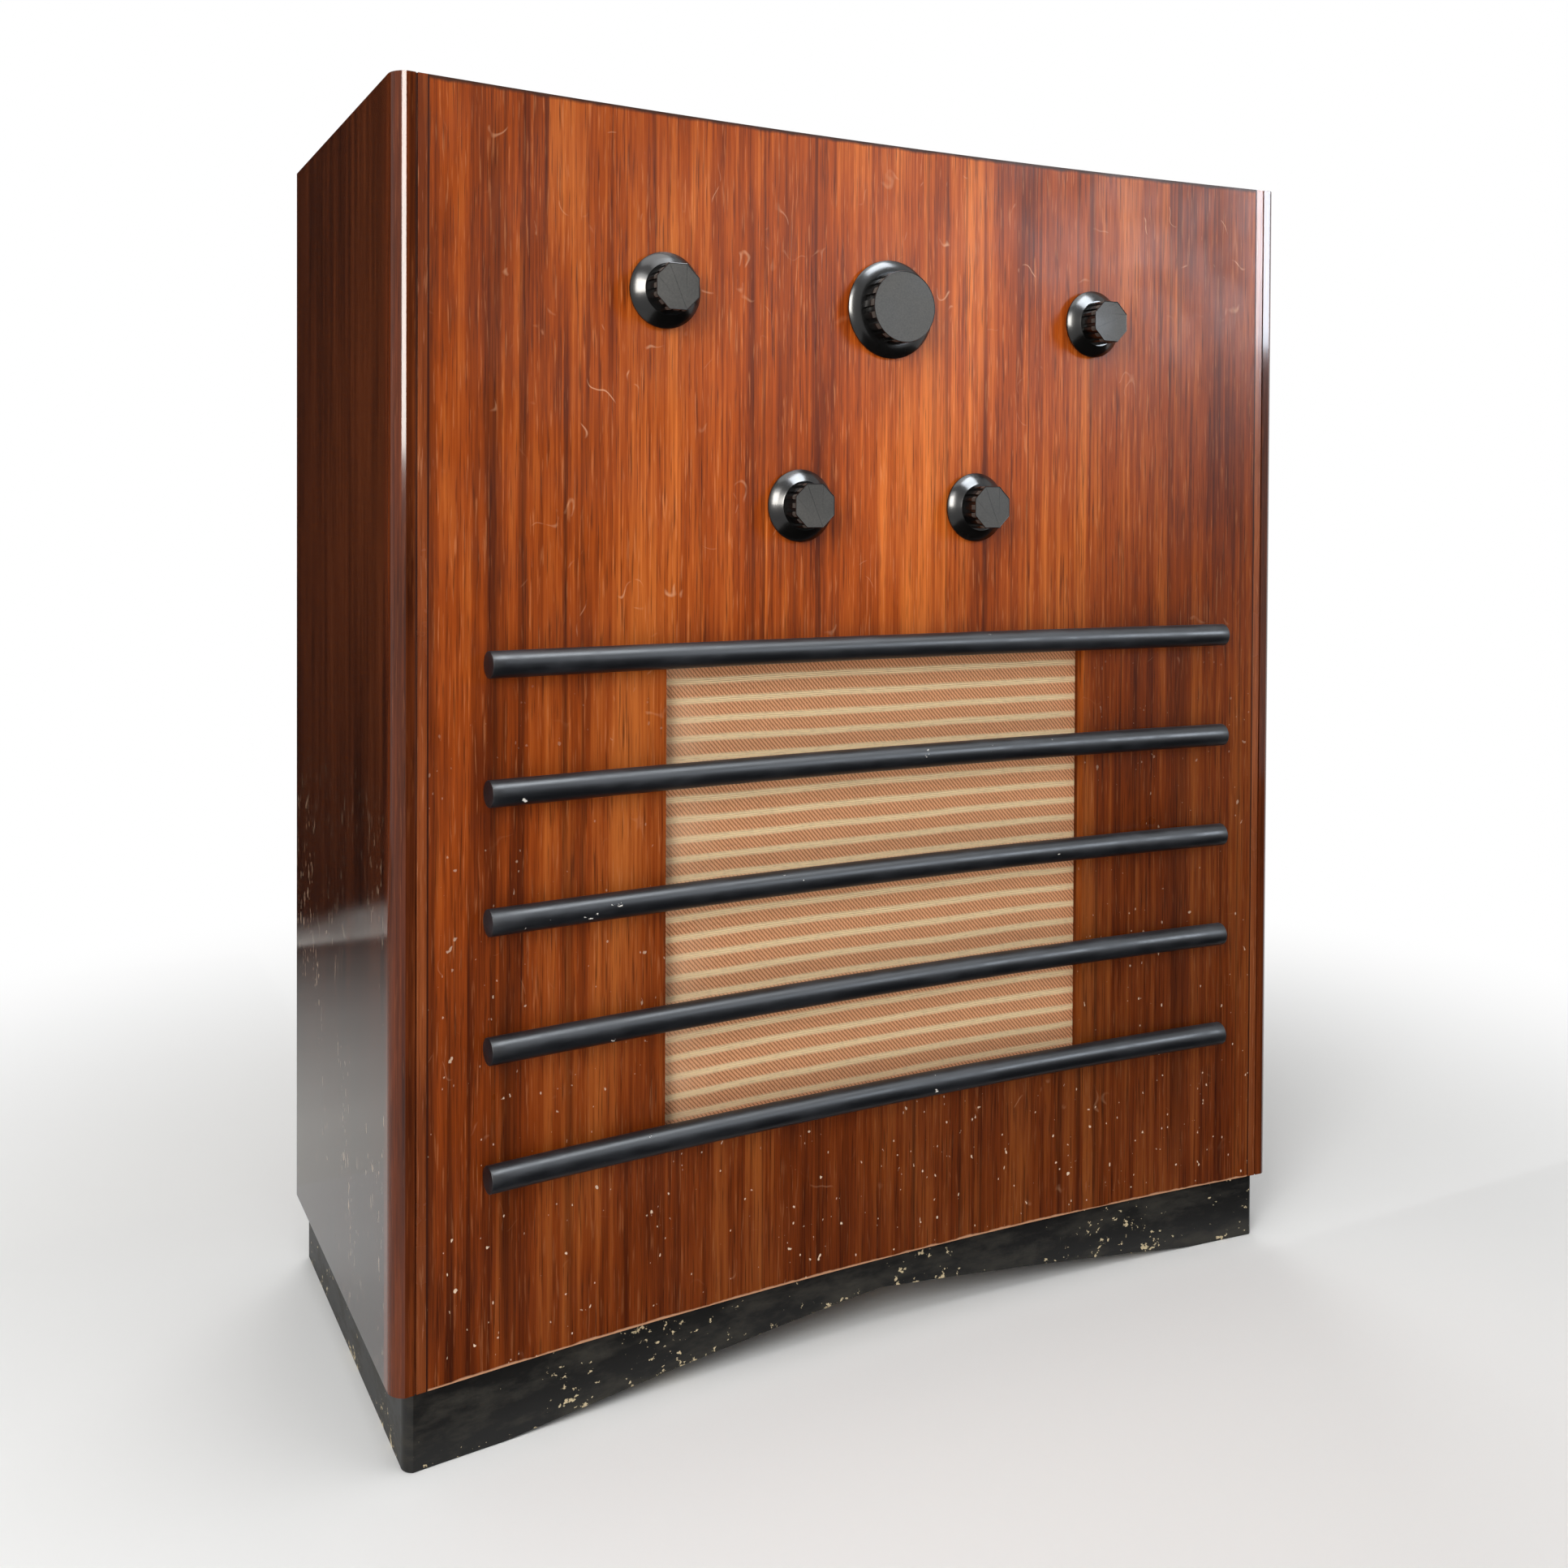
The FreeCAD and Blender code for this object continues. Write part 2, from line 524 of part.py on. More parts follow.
def make_knobs():
    for name, (across, level, size) in knobs.items():
        # The spindle is moulded into the knob and ends in the bore of its control.
        reach = f"({chassis_face} + spindle_seat - {knob_seat(across, size)})"
        skirt = f"{size}_skirt_radius"
        grip = f"{size}_grip_radius"
        tall = f"{size}_knob_height"
        shoulder = f"{size}_skirt_height"
        body = turned([
            ("0", f"0 - {reach}"), ("spindle_radius", f"0 - {reach}"), ("spindle_radius", "0"),
            (skirt, "0"), (skirt, "skirt_rim"), (f"{size}_shoulder_radius", shoulder), (grip, shoulder),
            (grip, f"{tall} - face_rounding"), (f"{grip} - face_rounding", tall), ("0", tall),
        ], "knob")
        centre = f"{grip} + {size}_flute_radius - {size}_flute_depth"
        # The large knob's flutes stop under a plain rim round its face.
        flute_top = f"({tall} - {size}_plain_rim)"
        flutes(body, f"{size}_flutes", f"{size}_flute_radius", centre, flute_top,
               f"{flute_top} - {shoulder} - face_rounding")
        seat(body, (across, knob_seat(across, size), level), to_front)
        node(body, f"knob_{name}")


def make_controls():
    """The bodies behind the control plate that the spindles turn in."""
    def control(across, level, radius, length):
        body = drum((across, chassis_face, level), radius, length, to_back)
        bore = drum((across, chassis_face, level), "spindle_radius + running_gap", "spindle_seat + 1", to_back)
        return less(body, bore)

    bodies = [control(knobs[name][0], knobs[name][1], "control_radius", "control_length")
              for name in ("volume", "tone")]
    node(collected(*bodies), "volume_and_tone_controls")
    across, level, size = knobs["tuning"]
    node(control(across, level, "control_radius - 4", "control_length + 8"), "tuning_drive")
    # The two rotary switches stand inside the chassis, against its front wall.
    bodies = []
    for name in ("waveband", "gram"):
        across, level, size = knobs[name]
        start = f"({chassis_face} + chassis_wall)"
        body = drum((across, start, level), "control_radius", "control_length", to_back)
        bore = drum((across, chassis_face, level), "spindle_radius + running_gap", "spindle_seat + 1", to_back)
        bodies.append(less(body, bore))
    node(collected(*bodies), "rotary_switches")


def make_receiver():
    low = ("0 - chassis_half_width", chassis_face, shelf_top)
    high = ("chassis_half_width", f"{chassis_face} + chassis_length", chassis_top)
    inside = block(("chassis_wall - chassis_half_width", f"{chassis_face} + chassis_wall", shelf_top),
                   ("chassis_half_width - chassis_wall", f"{chassis_face} + chassis_length - chassis_wall",
                    f"{chassis_top} - chassis_wall"))
    drills = [drum((knobs[name][0], chassis_face, knobs[name][1]), "spindle_radius + running_gap",
                   "chassis_wall", to_back) for name in ("waveband", "gram")]
    node(less(block(low, high), inside, *drills), "chassis")

    plate = block(("0 - chassis_half_width", plate_front, shelf_top),
                  ("chassis_half_width", chassis_face, f"{upper_row} + control_radius"))
    drills = [drum((across, plate_front, level), "spindle_radius + running_gap", "plate_wall", to_back)
              for across, level, size in knobs.values()]
    node(less(plate, *drills), "control_plate")

    valve_row = f"({chassis_face} + chassis_length - 2*valve_radius)"
    valves = []
    for index in range(4):
        place = (f"({index} - 1)*valve_pitch", valve_row, chassis_top)
        valves.append(seat(turned([
            ("0", "0"), ("valve_radius - 2", "0"), ("valve_radius - 2", "valve_height/4"),
            ("valve_radius", "valve_height/3"), ("valve_radius", "valve_height*2/3"),
            ("valve_radius/2", "valve_height*5/6"), ("valve_radius/3", "valve_height"), ("0", "valve_height"),
        ], "valve"), place))
    node(collected(*valves), "valves")

    cans = [drum((f"{index}*2.6*can_radius", f"{chassis_face} + chassis_length/3", chassis_top),
                 "can_radius", "can_height") for index in (-1, 0, 1)]
    node(collected(*cans), "coil_cans")

    middle = f"(0 - chassis_half_width + transformer_width*2/3)"
    core_y = f"({chassis_face} + chassis_length - transformer_width*2/3)"
    core_low = (f"{middle} - transformer_width/2", f"{core_y} - transformer_width/3", chassis_top)
    core_high = (f"{middle} + transformer_width/2", f"{core_y} + transformer_width/3",
                 f"{chassis_top} + transformer_height")
    winding = block((f"{middle} - transformer_width/4", f"{core_y} - transformer_width/2",
                     f"{chassis_top} + transformer_height/5"),
                    (f"{middle} + transformer_width/4", f"{core_y} + transformer_width/2",
                     f"{chassis_top} + transformer_height*4/5"))
    node(joined(block(core_low, core_high), winding), "mains_transformer")

    can_place = (f"{middle}", f"{chassis_face} + chassis_length/4", chassis_top)
    node(drum(can_place, "can_radius + 2", "can_height + 16"), "smoothing_capacitor")


def make_tuning():
    """The tuning condenser stands under the dial, on one upright shaft with the pointer."""
    half = "(gang_size/2)"
    low = (f"dial_x - {half}", f"{dial_y} - {half}", chassis_top)
    high = (f"dial_x + {half}", f"{dial_y} + {half}", f"{chassis_top} + gang_height")
    room = block((f"dial_x - {half} + 3", f"{dial_y} - {half} - 1", f"{chassis_top} + 4"),
                 (f"dial_x + {half} - 3", f"{dial_y} + {half} + 1", f"{chassis_top} + gang_height - 4"))
    bearing = drum(("dial_x", dial_y, f"{chassis_top} + 1"), "dial_shaft_radius + running_gap", "gang_height")
    node(less(block(low, high), room, bearing), "tuning_condenser_frame")

    shaft_low = f"({chassis_top} + 1.3)"
    shaft_top = f"({deck_top} + dial_plate_wall + 1.5)"
    shaft = drum(("dial_x", dial_y, shaft_low), "dial_shaft_radius", f"{shaft_top} - {shaft_low}")
    vanes = []
    for index in range(6):
        level = f"({chassis_top} + 12 + {index}*11)"
        disc = drum(("dial_x", dial_y, level), f"{half} - 6", "1.5")
        cutter = block((f"dial_x - {half}", f"{dial_y}", level), (f"dial_x + {half}", f"{dial_y} + {half}",
                                                                 f"{level} + 1.5"))
        vanes.append(less(disc, cutter))
    node(joined(shaft, *vanes), "tuning_condenser_rotor")

    pointer = block(("dial_x - 1", dial_y, shaft_top),
                    ("dial_x + 1", f"{dial_y} + dial_window_radius - 4", f"{shaft_top} + pointer_wall"))
    boss = drum(("dial_x", dial_y, shaft_top), "dial_shaft_radius + 2", "pointer_wall + 1")
    node(joined(pointer, boss), "dial_pointer")

    plate = drum(("dial_x", dial_y, deck_top), "dial_window_radius + 4", "dial_plate_wall")
    hole = drum(("dial_x", dial_y, deck_top), "dial_shaft_radius + 1", "dial_plate_wall")
    node(less(plate, hole), "dial_plate")

    rebate = "(dial_window_radius + 4 + fit_gap)"
    glass_floor = "(dial_frame_height - glass_wall - 2)"
    frame = turned([
        (rebate, "0"), ("dial_frame_radius", "0"), ("dial_frame_radius", "dial_frame_height - 4"),
        ("dial_frame_radius - 4", "dial_frame_height"), ("dial_window_radius", "dial_frame_height"),
        ("dial_window_radius", f"{glass_floor} + glass_wall"), (rebate, f"{glass_floor} + glass_wall"),
        (rebate, glass_floor), (f"{rebate} - 2", glass_floor), (f"{rebate} - 2", f"{glass_floor} - 1"),
        (rebate, f"{glass_floor} - 1"),
    ])
    node(seat(frame, ("dial_x", dial_y, deck_top)), "dial_frame")
    node(drum(("dial_x", dial_y, f"{deck_top} + {glass_floor}"), "dial_window_radius + 4", "glass_wall"),
         "dial_glass")


def make_turntable():
    place = ("platter_x", platter_y, platter_bottom)
    inner_top = "(platter_rim - platter_wall)"
    platter = turned([
        ("record_spindle_radius + running_gap", "0"), ("platter_hub_radius", "0"),
        ("platter_hub_radius", inner_top),
        ("platter_radius - 2*platter_wall", inner_top), ("platter_radius - platter_wall", "0"),
        ("platter_radius - 1", "0"), ("platter_radius", "1"), ("platter_radius", "platter_rim - 1"),
        ("platter_radius - 1", "platter_rim"), ("record_spindle_radius + running_gap", "platter_rim"),
    ])
    node(seat(platter, place), "platter")

    mat = drum(("platter_x", platter_y, platter_top), "platter_radius - 4", "mat_wall")
    hole = drum(("platter_x", platter_y, platter_top), "record_spindle_radius + 1", "mat_wall")
    node(less(mat, hole), "felt_mat")

    shaft_low = f"({deck_bottom} - motor_height + 8)"
    shaft_top = f"({mat_top} + spindle_top)"
    shaft = turned([
        ("0", "0"), ("record_spindle_radius", "0"),
        ("record_spindle_radius", f"{shaft_top} - {shaft_low} - 3"),
        ("record_spindle_radius - 2", f"{shaft_top} - {shaft_low}"),
        ("0", f"{shaft_top} - {shaft_low}"),
    ])
    node(seat(shaft, ("platter_x", platter_y, shaft_low)), "record_spindle")

    motor = turned([
        ("0", "0"), ("motor_radius - 4", "0"), ("motor_radius", "4"), ("motor_radius", "motor_height - 3"),
        ("motor_radius + 8", "motor_height - 3"), ("motor_radius + 8", "motor_height"),
        ("record_spindle_radius + running_gap", "motor_height"),
        ("record_spindle_radius + running_gap", "7.7"), ("0", "7.7"),
    ])
    node(seat(motor, ("platter_x", platter_y, f"{deck_bottom} - motor_height")), "gram_motor")


def make_pickup():
    pillar_top = f"({arm_height} - turret_height - arm_radius - 2)"
    base_height = f"({pillar_top} - {deck_top})"
    bearing = "turret_pin_radius + running_gap"
    base = turned([
        (bearing, "0"), ("pickup_base_radius", "0"), ("pickup_base_radius", "base_flange"),
        ("pickup_base_radius - 3", "base_step"), ("pillar_radius", "base_step"),
        ("pillar_radius", base_height), (bearing, base_height),
    ])
    node(seat(base, ("pickup_x", pickup_y, deck_top)), "pickup_base")

    collar = turned([
        ("0", "0 - turret_pin_length"), ("turret_pin_radius", "0 - turret_pin_length"),
        ("turret_pin_radius", "fit_gap"), ("turret_radius - 2", "fit_gap"), ("turret_radius", "2"),
        ("turret_radius", "turret_height - 2"), ("turret_radius - 2", "turret_height"),
        ("0", "turret_height"),
    ])
    seat(collar, ("pickup_x", pickup_y, pillar_top))
    lug = block(("pickup_x - lug_width/2", f"{pickup_y} - lug_width/2", f"{pillar_top} + turret_height"),
                ("pickup_x + lug_width/2", f"{pickup_y} + lug_width/2", f"{arm_height} + 2*arm_pin_radius"))
    ear_near = "(lug_width/2 + fit_gap)"
    ear_far = f"({ear_near} + ear_wall)"
    pin = drum((f"pickup_x - {ear_far} - 1", pickup_y, arm_height), "arm_pin_radius",
               f"2*{ear_far} + 2", to_right)
    node(joined(collar, lug, pin), "pickup_turret")

    ear_front = f"({pickup_y} - ear_length)"
    ears = []
    for side in (-1, 1):
        near, far = f"pickup_x + {side}*{ear_near}", f"pickup_x + {side}*{ear_far}"
        low, high = (far, near) if side < 0 else (near, far)
        ears.append(block((low, ear_front, f"{arm_height} - arm_radius"),
                          (high, f"{pickup_y} + ear_rear", f"{arm_height} + arm_radius")))
    bridge = block((f"pickup_x - {ear_far}", ear_front, f"{arm_height} - arm_radius"),
                   (f"pickup_x + {ear_far}", f"{ear_front} + bridge_wall", f"{arm_height} + arm_radius"))
    tube_length = "(arm_length + head_overhang - head_length - ear_length)"
    tube = drum(("pickup_x", ear_front, arm_height), "arm_radius", tube_length, to_front)
    bore = drum((f"pickup_x - {ear_far} - 1", pickup_y, arm_height), "arm_pin_radius + running_gap",
                f"2*{ear_far} + 2", to_right)
    node(less(joined(*ears, bridge, tube), bore), "pickup_arm")

    head_back = f"({ear_front} - {tube_length})"
    head_low = f"({arm_height} - head_below)"
    shell = block(("pickup_x - head_half_width", f"{head_back} - head_length", head_low),
                  ("pickup_x + head_half_width", head_back, f"{arm_height} + head_above"))
    needle_low = f"({mat_top} + needle_lift)"
    needle = drum(("pickup_x", f"{pickup_y} - arm_length", needle_low), "needle_radius",
                  f"{head_low} - {needle_low}")
    node(joined(shell, needle), "pickup_head")

    rest_height = f"({arm_height} - arm_radius - fit_gap - {deck_top})"
    post = turned([
        ("0", "0"), ("rest_foot_radius", "0"), ("rest_foot_radius", "rest_pad_wall"),
        ("rest_stem_radius", "rest_pad_wall + 2"), ("rest_stem_radius", f"{rest_height} - rest_pad_wall - 1"),
        ("rest_pad_radius", f"{rest_height} - rest_pad_wall"), ("rest_pad_radius", rest_height),
        ("0", rest_height),
    ])
    node(seat(post, ("pickup_x", f"{pickup_y} - arm_length/2", deck_top)), "arm_rest")


def make_speed_lever():
    arm_low = f"({deck_top} + lever_boss_height/2)"
    boss = drum(("lever_x", lever_y, f"{deck_top} + fit_gap"), "lever_boss_radius", "lever_boss_height")
    pivot = drum(("lever_x", lever_y, f"{deck_top} - lever_pin_depth"), "lever_pin_radius",
                 "lever_pin_depth + 1")
    arm = block(("lever_x", f"{lever_y} - lever_wall", arm_low),
                ("lever_x + lever_length", f"{lever_y} + lever_wall", f"{arm_low} + lever_wall"))
    grip = drum(("lever_x + lever_length", lever_y, f"{arm_low} - 1"), "lever_grip_radius",
                "lever_grip_height")
    node(joined(boss, pivot, arm, grip), "speed_lever")


def make_connectors():
    cover_back = f"({cover_front} + back_wall)"
    top = f"({shelf_bottom} - connector_drop)"
    middle = f"({top} - connector_height/2)"
    panel = block(("0 - connector_width/2", cover_back, f"{top} - connector_height"),
                  ("connector_width/2", f"{cover_back} + connector_wall", top))
    sockets = [drum((f"{step}*socket_pitch - 10", cover_back, middle), "socket_radius", "connector_wall", to_back)
               for step in (-2, -1, 0, 1)]
    inlet = drum(("inlet_x", cover_back, middle), "inlet_radius", "connector_wall", to_back)
    node(less(panel, *sockets, inlet), "connector_panel")


make_cabinet()
make_plinth()
make_lid()
make_grille()
make_speaker()
make_screws()
make_knobs()
make_controls()
make_receiver()
make_tuning()
make_turntable()
make_pickup()
make_speed_lever()
make_connectors()
doc.recompute()

for thing in doc.Objects:
    if "Invalid" in thing.State or "Error" in thing.State:
        raise RuntimeError(f"{thing.Name} ({thing.Label}) failed: {thing.State}")
os.makedirs("parts", exist_ok=True)
for thing in nodes:
    shape = thing.Shape
    if shape.isNull() or not shape.isValid():
        raise RuntimeError(f"{thing.Label} has no sound shape")
for thing in nodes:
    thing.Shape.exportStep(f"parts/{thing.Label}.step")
    print(thing.Label, len(thing.Shape.Solids), round(thing.Shape.Volume))
whole = Part.makeCompound([thing.Shape for thing in nodes]).BoundBox
print("nodes", len(nodes), "box", whole)
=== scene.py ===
import math

import bmesh
import bpy
from mathutils import Matrix, Vector


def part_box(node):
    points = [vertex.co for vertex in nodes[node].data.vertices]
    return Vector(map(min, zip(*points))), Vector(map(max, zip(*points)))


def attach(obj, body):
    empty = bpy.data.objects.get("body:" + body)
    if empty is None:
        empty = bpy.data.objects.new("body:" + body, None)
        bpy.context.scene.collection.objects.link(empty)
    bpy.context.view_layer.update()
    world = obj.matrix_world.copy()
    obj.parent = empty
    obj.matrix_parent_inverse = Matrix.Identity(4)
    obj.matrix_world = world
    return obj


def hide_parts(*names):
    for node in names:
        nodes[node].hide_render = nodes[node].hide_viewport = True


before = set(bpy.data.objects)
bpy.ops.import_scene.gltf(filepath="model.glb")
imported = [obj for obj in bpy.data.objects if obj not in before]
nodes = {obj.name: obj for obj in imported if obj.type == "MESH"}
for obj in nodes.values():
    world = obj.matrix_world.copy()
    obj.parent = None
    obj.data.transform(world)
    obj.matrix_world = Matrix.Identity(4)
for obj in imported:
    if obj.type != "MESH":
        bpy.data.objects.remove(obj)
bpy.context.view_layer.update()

print("frame loaded:", len(nodes), "nodes")


# Material helpers

def paint(red, green, blue):
    # a colour as a screen shows it, 0 to 255, made linear
    values = [part / 255 for part in (red, green, blue)]
    return tuple(v / 12.92 if v <= 0.04045 else ((v + 0.055) / 1.055) ** 2.4 for v in values) + (1.0,)


def startMaterial(name, **shaderValues):
    material = bpy.data.materials.new(name)
    material.use_nodes = True
    shader = material.node_tree.nodes["Principled BSDF"]
    for word, value in shaderValues.items():
        shader.inputs[socketNames[word]].default_value = value
    return material, material.node_tree, shader


socketNames = {
    "colour": "Base Color", "roughness": "Roughness", "metal": "Metallic", "shine": "Specular IOR Level",
    "coat": "Coat Weight", "coatRoughness": "Coat Roughness", "clear": "Transmission Weight", "bend": "IOR",
    "fuzz": "Sheen Weight", "fuzzRoughness": "Sheen Roughness",
}


def add(tree, kind, sockets=None, **settings):
    made = tree.nodes.new("ShaderNode" + kind)
    for name, value in settings.items():
        setattr(made, name, value)
    for name, value in (sockets or {}).items():
        if isinstance(value, bpy.types.NodeSocket):
            tree.links.new(value, made.inputs[name])
        else:
            made.inputs[name].default_value = value
    return made


def space(tree, stretch=(1, 1, 1), turn=(0, 0, 0), shift=(0, 0, 0), source="Object"):
    place = add(tree, "TexCoord").outputs[source]
    return add(tree, "Mapping", {"Vector": place, "Location": shift, "Rotation": turn, "Scale": stretch}).outputs[0]


def cloud(tree, where, scale, detail=3.0, rough=0.5, twist=0.0):
    return add(tree, "TexNoise", {"Vector": where, "Scale": scale, "Detail": detail, "Roughness": rough,
                                  "Distortion": twist}).outputs["Fac"]


def shades(tree, source, stops, easing="LINEAR"):
    made = add(tree, "ValToRGB", {"Fac": source})
    made.color_ramp.interpolation = easing
    elements = made.color_ramp.elements
    while len(elements) < len(stops):
        elements.new(0.5)
    for element, (place, colour) in zip(elements, stops):
        element.position = place
        element.color = colour
    return made.outputs["Color"]


def level(tree, source, low, high, toLow=0.0, toHigh=1.0, easing="LINEAR"):
    return add(tree, "MapRange", {"Value": source, "From Min": low, "From Max": high, "To Min": toLow,
                                  "To Max": toHigh}, interpolation_type=easing).outputs["Result"]


def mixed(tree, amount, first, second, how="MIX"):
    return add(tree, "Mix", {0: amount, 6: first, 7: second}, data_type="RGBA", blend_type=how).outputs[2]


def reckon(tree, how, first, second=0.0):
    return add(tree, "Math", {0: first, 1: second}, operation=how).outputs[0]


def raised(tree, shader, height, strength, distance):
    bump = add(tree, "Bump", {"Height": height, "Strength": strength, "Distance": distance})
    tree.links.new(bump.outputs[0], shader.inputs["Normal"])


def coloured(tree, shader, colour, roughness=None):
    tree.links.new(colour, shader.inputs["Base Color"])
    if roughness is not None:
        tree.links.new(roughness, shader.inputs["Roughness"])


def axes(tree):
    return add(tree, "SeparateXYZ", {0: add(tree, "TexCoord").outputs["Object"]}).outputs


# Mesh helpers

def spun(corners, steps=96):
    # a profile of radius and height, turned about the Z axis
    bm = bmesh.new()
    line = [bm.verts.new((radius, 0, height)) for radius, height in corners]
    edges = [bm.edges.new(pair) for pair in zip(line, line[1:])]
    bmesh.ops.spin(bm, geom=line + edges, cent=(0, 0, 0), axis=(0, 0, 1), angle=math.tau, steps=steps, use_merge=True)
    bmesh.ops.remove_doubles(bm, verts=bm.verts, dist=1e-6)
    bmesh.ops.recalc_face_normals(bm, faces=bm.faces)
    return bm


def block(low, high):
    bm = bmesh.new()
    bmesh.ops.create_cube(bm, size=1)
    low, high = Vector(low), Vector(high)
    bmesh.ops.scale(bm, vec=high - low, verts=bm.verts)
    bmesh.ops.translate(bm, vec=(low + high) / 2, verts=bm.verts)
    return bm


def rounded(bm, offset, angle=30, segments=2):
    sharp = [edge for edge in bm.edges if edge.calc_face_angle(0) > math.radians(angle)]
    bmesh.ops.bevel(bm, geom=sharp, offset=offset, offset_type="OFFSET", affect="EDGES", segments=segments,
                    profile=0.5, material=-1, clamp_overlap=True)
    return bm


def gathered(*parts):
    whole = bmesh.new()
    for part in parts:
        mesh = bpy.data.meshes.new("part")
        part.to_mesh(mesh)
        part.free()
        whole.from_mesh(mesh)
        bpy.data.meshes.remove(mesh)
    return whole


def moved(bm, place=(0, 0, 0), turn=None):
    if turn:
        bmesh.ops.transform(bm, matrix=Matrix.Rotation(math.radians(turn[0]), 4, turn[1]), verts=bm.verts)
    bmesh.ops.translate(bm, vec=place, verts=bm.verts)
    return bm


def finished(name, bm, materials, body, slot, *replaced, crease=32):
    for face in bm.faces:
        face.smooth = True
    for edge in bm.edges:
        edge.smooth = edge.calc_face_angle(0) < math.radians(crease)
    mesh = bpy.data.meshes.new(name)
    bm.to_mesh(mesh)
    bm.free()
    for material in materials:
        mesh.materials.append(material)
    piece = bpy.data.objects.new(name, mesh)
    bpy.context.scene.collection.objects.link(piece)
    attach(piece, body)
    if replaced:
        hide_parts(*replaced)
    return piece


# Camera, stage and lights

cameraLook = {"place": (-0.67206, -1.25423, 0.68655), "turn": 27.603, "tilt": 0.823, "roll": 0.269,
              "lens": 35.0, "sensor": 36.0, "shift": -0.1553}


def makeCamera(look):
    turn, tilt, roll = (math.radians(look[word]) for word in ("turn", "tilt", "roll"))
    right = Vector((math.cos(turn), -math.sin(turn), 0))
    ahead = Vector((math.sin(turn), math.cos(turn), 0))
    up = Vector((0, 0, 1))
    aim = ahead * math.cos(tilt) - up * math.sin(tilt)
    top = up * math.cos(tilt) + ahead * math.sin(tilt)
    side = right * math.cos(roll) + top * math.sin(roll)
    top = top * math.cos(roll) - right * math.sin(roll)
    lens = bpy.data.cameras.new("camera")
    lens.lens, lens.sensor_width, lens.shift_y = look["lens"], look["sensor"], look["shift"]
    lens.clip_start, lens.clip_end = 0.02, 60
    camera = bpy.data.objects.new("camera", lens)
    camera.matrix_world = Matrix.Translation(look["place"]) @ Matrix((side, top, -aim)).transposed().to_4x4()
    bpy.context.scene.collection.objects.link(camera)
    bpy.context.scene.camera = camera


stageLook = {
    "floorSize": 9.0, "floorColour": (0.93, 0.93, 0.92, 1), "fadeFrom": 0.65, "fadeTo": 1.5, "worldGrey": 0.30,
    "lamps": {   # place, aim, width, height, watts, whether it lights, whether it shines, colour
        "leftBox": ((-1.75, -1.65, 1.55), (-0.2, -0.15, 0.8), 0.9, 1.6, 38, True, True, (1, 1, 1)),
        "topBox": ((-0.2, -0.6, 2.8), (0.0, -0.1, 0.5), 1.8, 1.4, 28, True, True, (1, 1, 1)),
        "backBox": ((0.9, 2.3, 1.8), (0.0, 0.19, 0.5), 1.7, 1.7, 22, True, False, (1, 1, 1)),
        "sheenBox": ((1.55, -1.80, 1.34), (0.42, -0.17, 0.95), 0.5, 0.55, 38, False, True, (0.80, 0.89, 1.0)),
        "skyBox": ((0.32, -1.05, 2.35), (-0.25, -0.18, 0.55), 1.1, 0.6, 56, False, True, (0.86, 0.93, 1.0)),
        "glowBox": ((-1.75, -1.65, 1.35), (-0.2, -0.15, 0.8), 0.7, 1.1, 84, False, True, (1.0, 0.95, 0.87)),
    },
    # dark cards seen only in what shines: centre, width, height, turn about X, and where along an axis they turn pale
    "cards": {
        "backCard": ((-1.3, 1.25, 1.25), 2.0, 2.5, 90, (2, 0.06, 0.0)),
        "backFloorCard": ((-1.3, 0.80, 0.001), 2.0, 0.90, 0, (1, 1.30, 0.50)),
        "frontCard": ((0.62, -1.95, 0.85), 1.0, 1.7, 90, None),
        "floorCard": ((0.80, -1.35, 0.001), 2.5, 2.3, 0, None),
    },
    "cardColour": (0.010, 0.010, 0.011, 1), "cardPale": (0.90, 0.90, 0.87, 1),
}


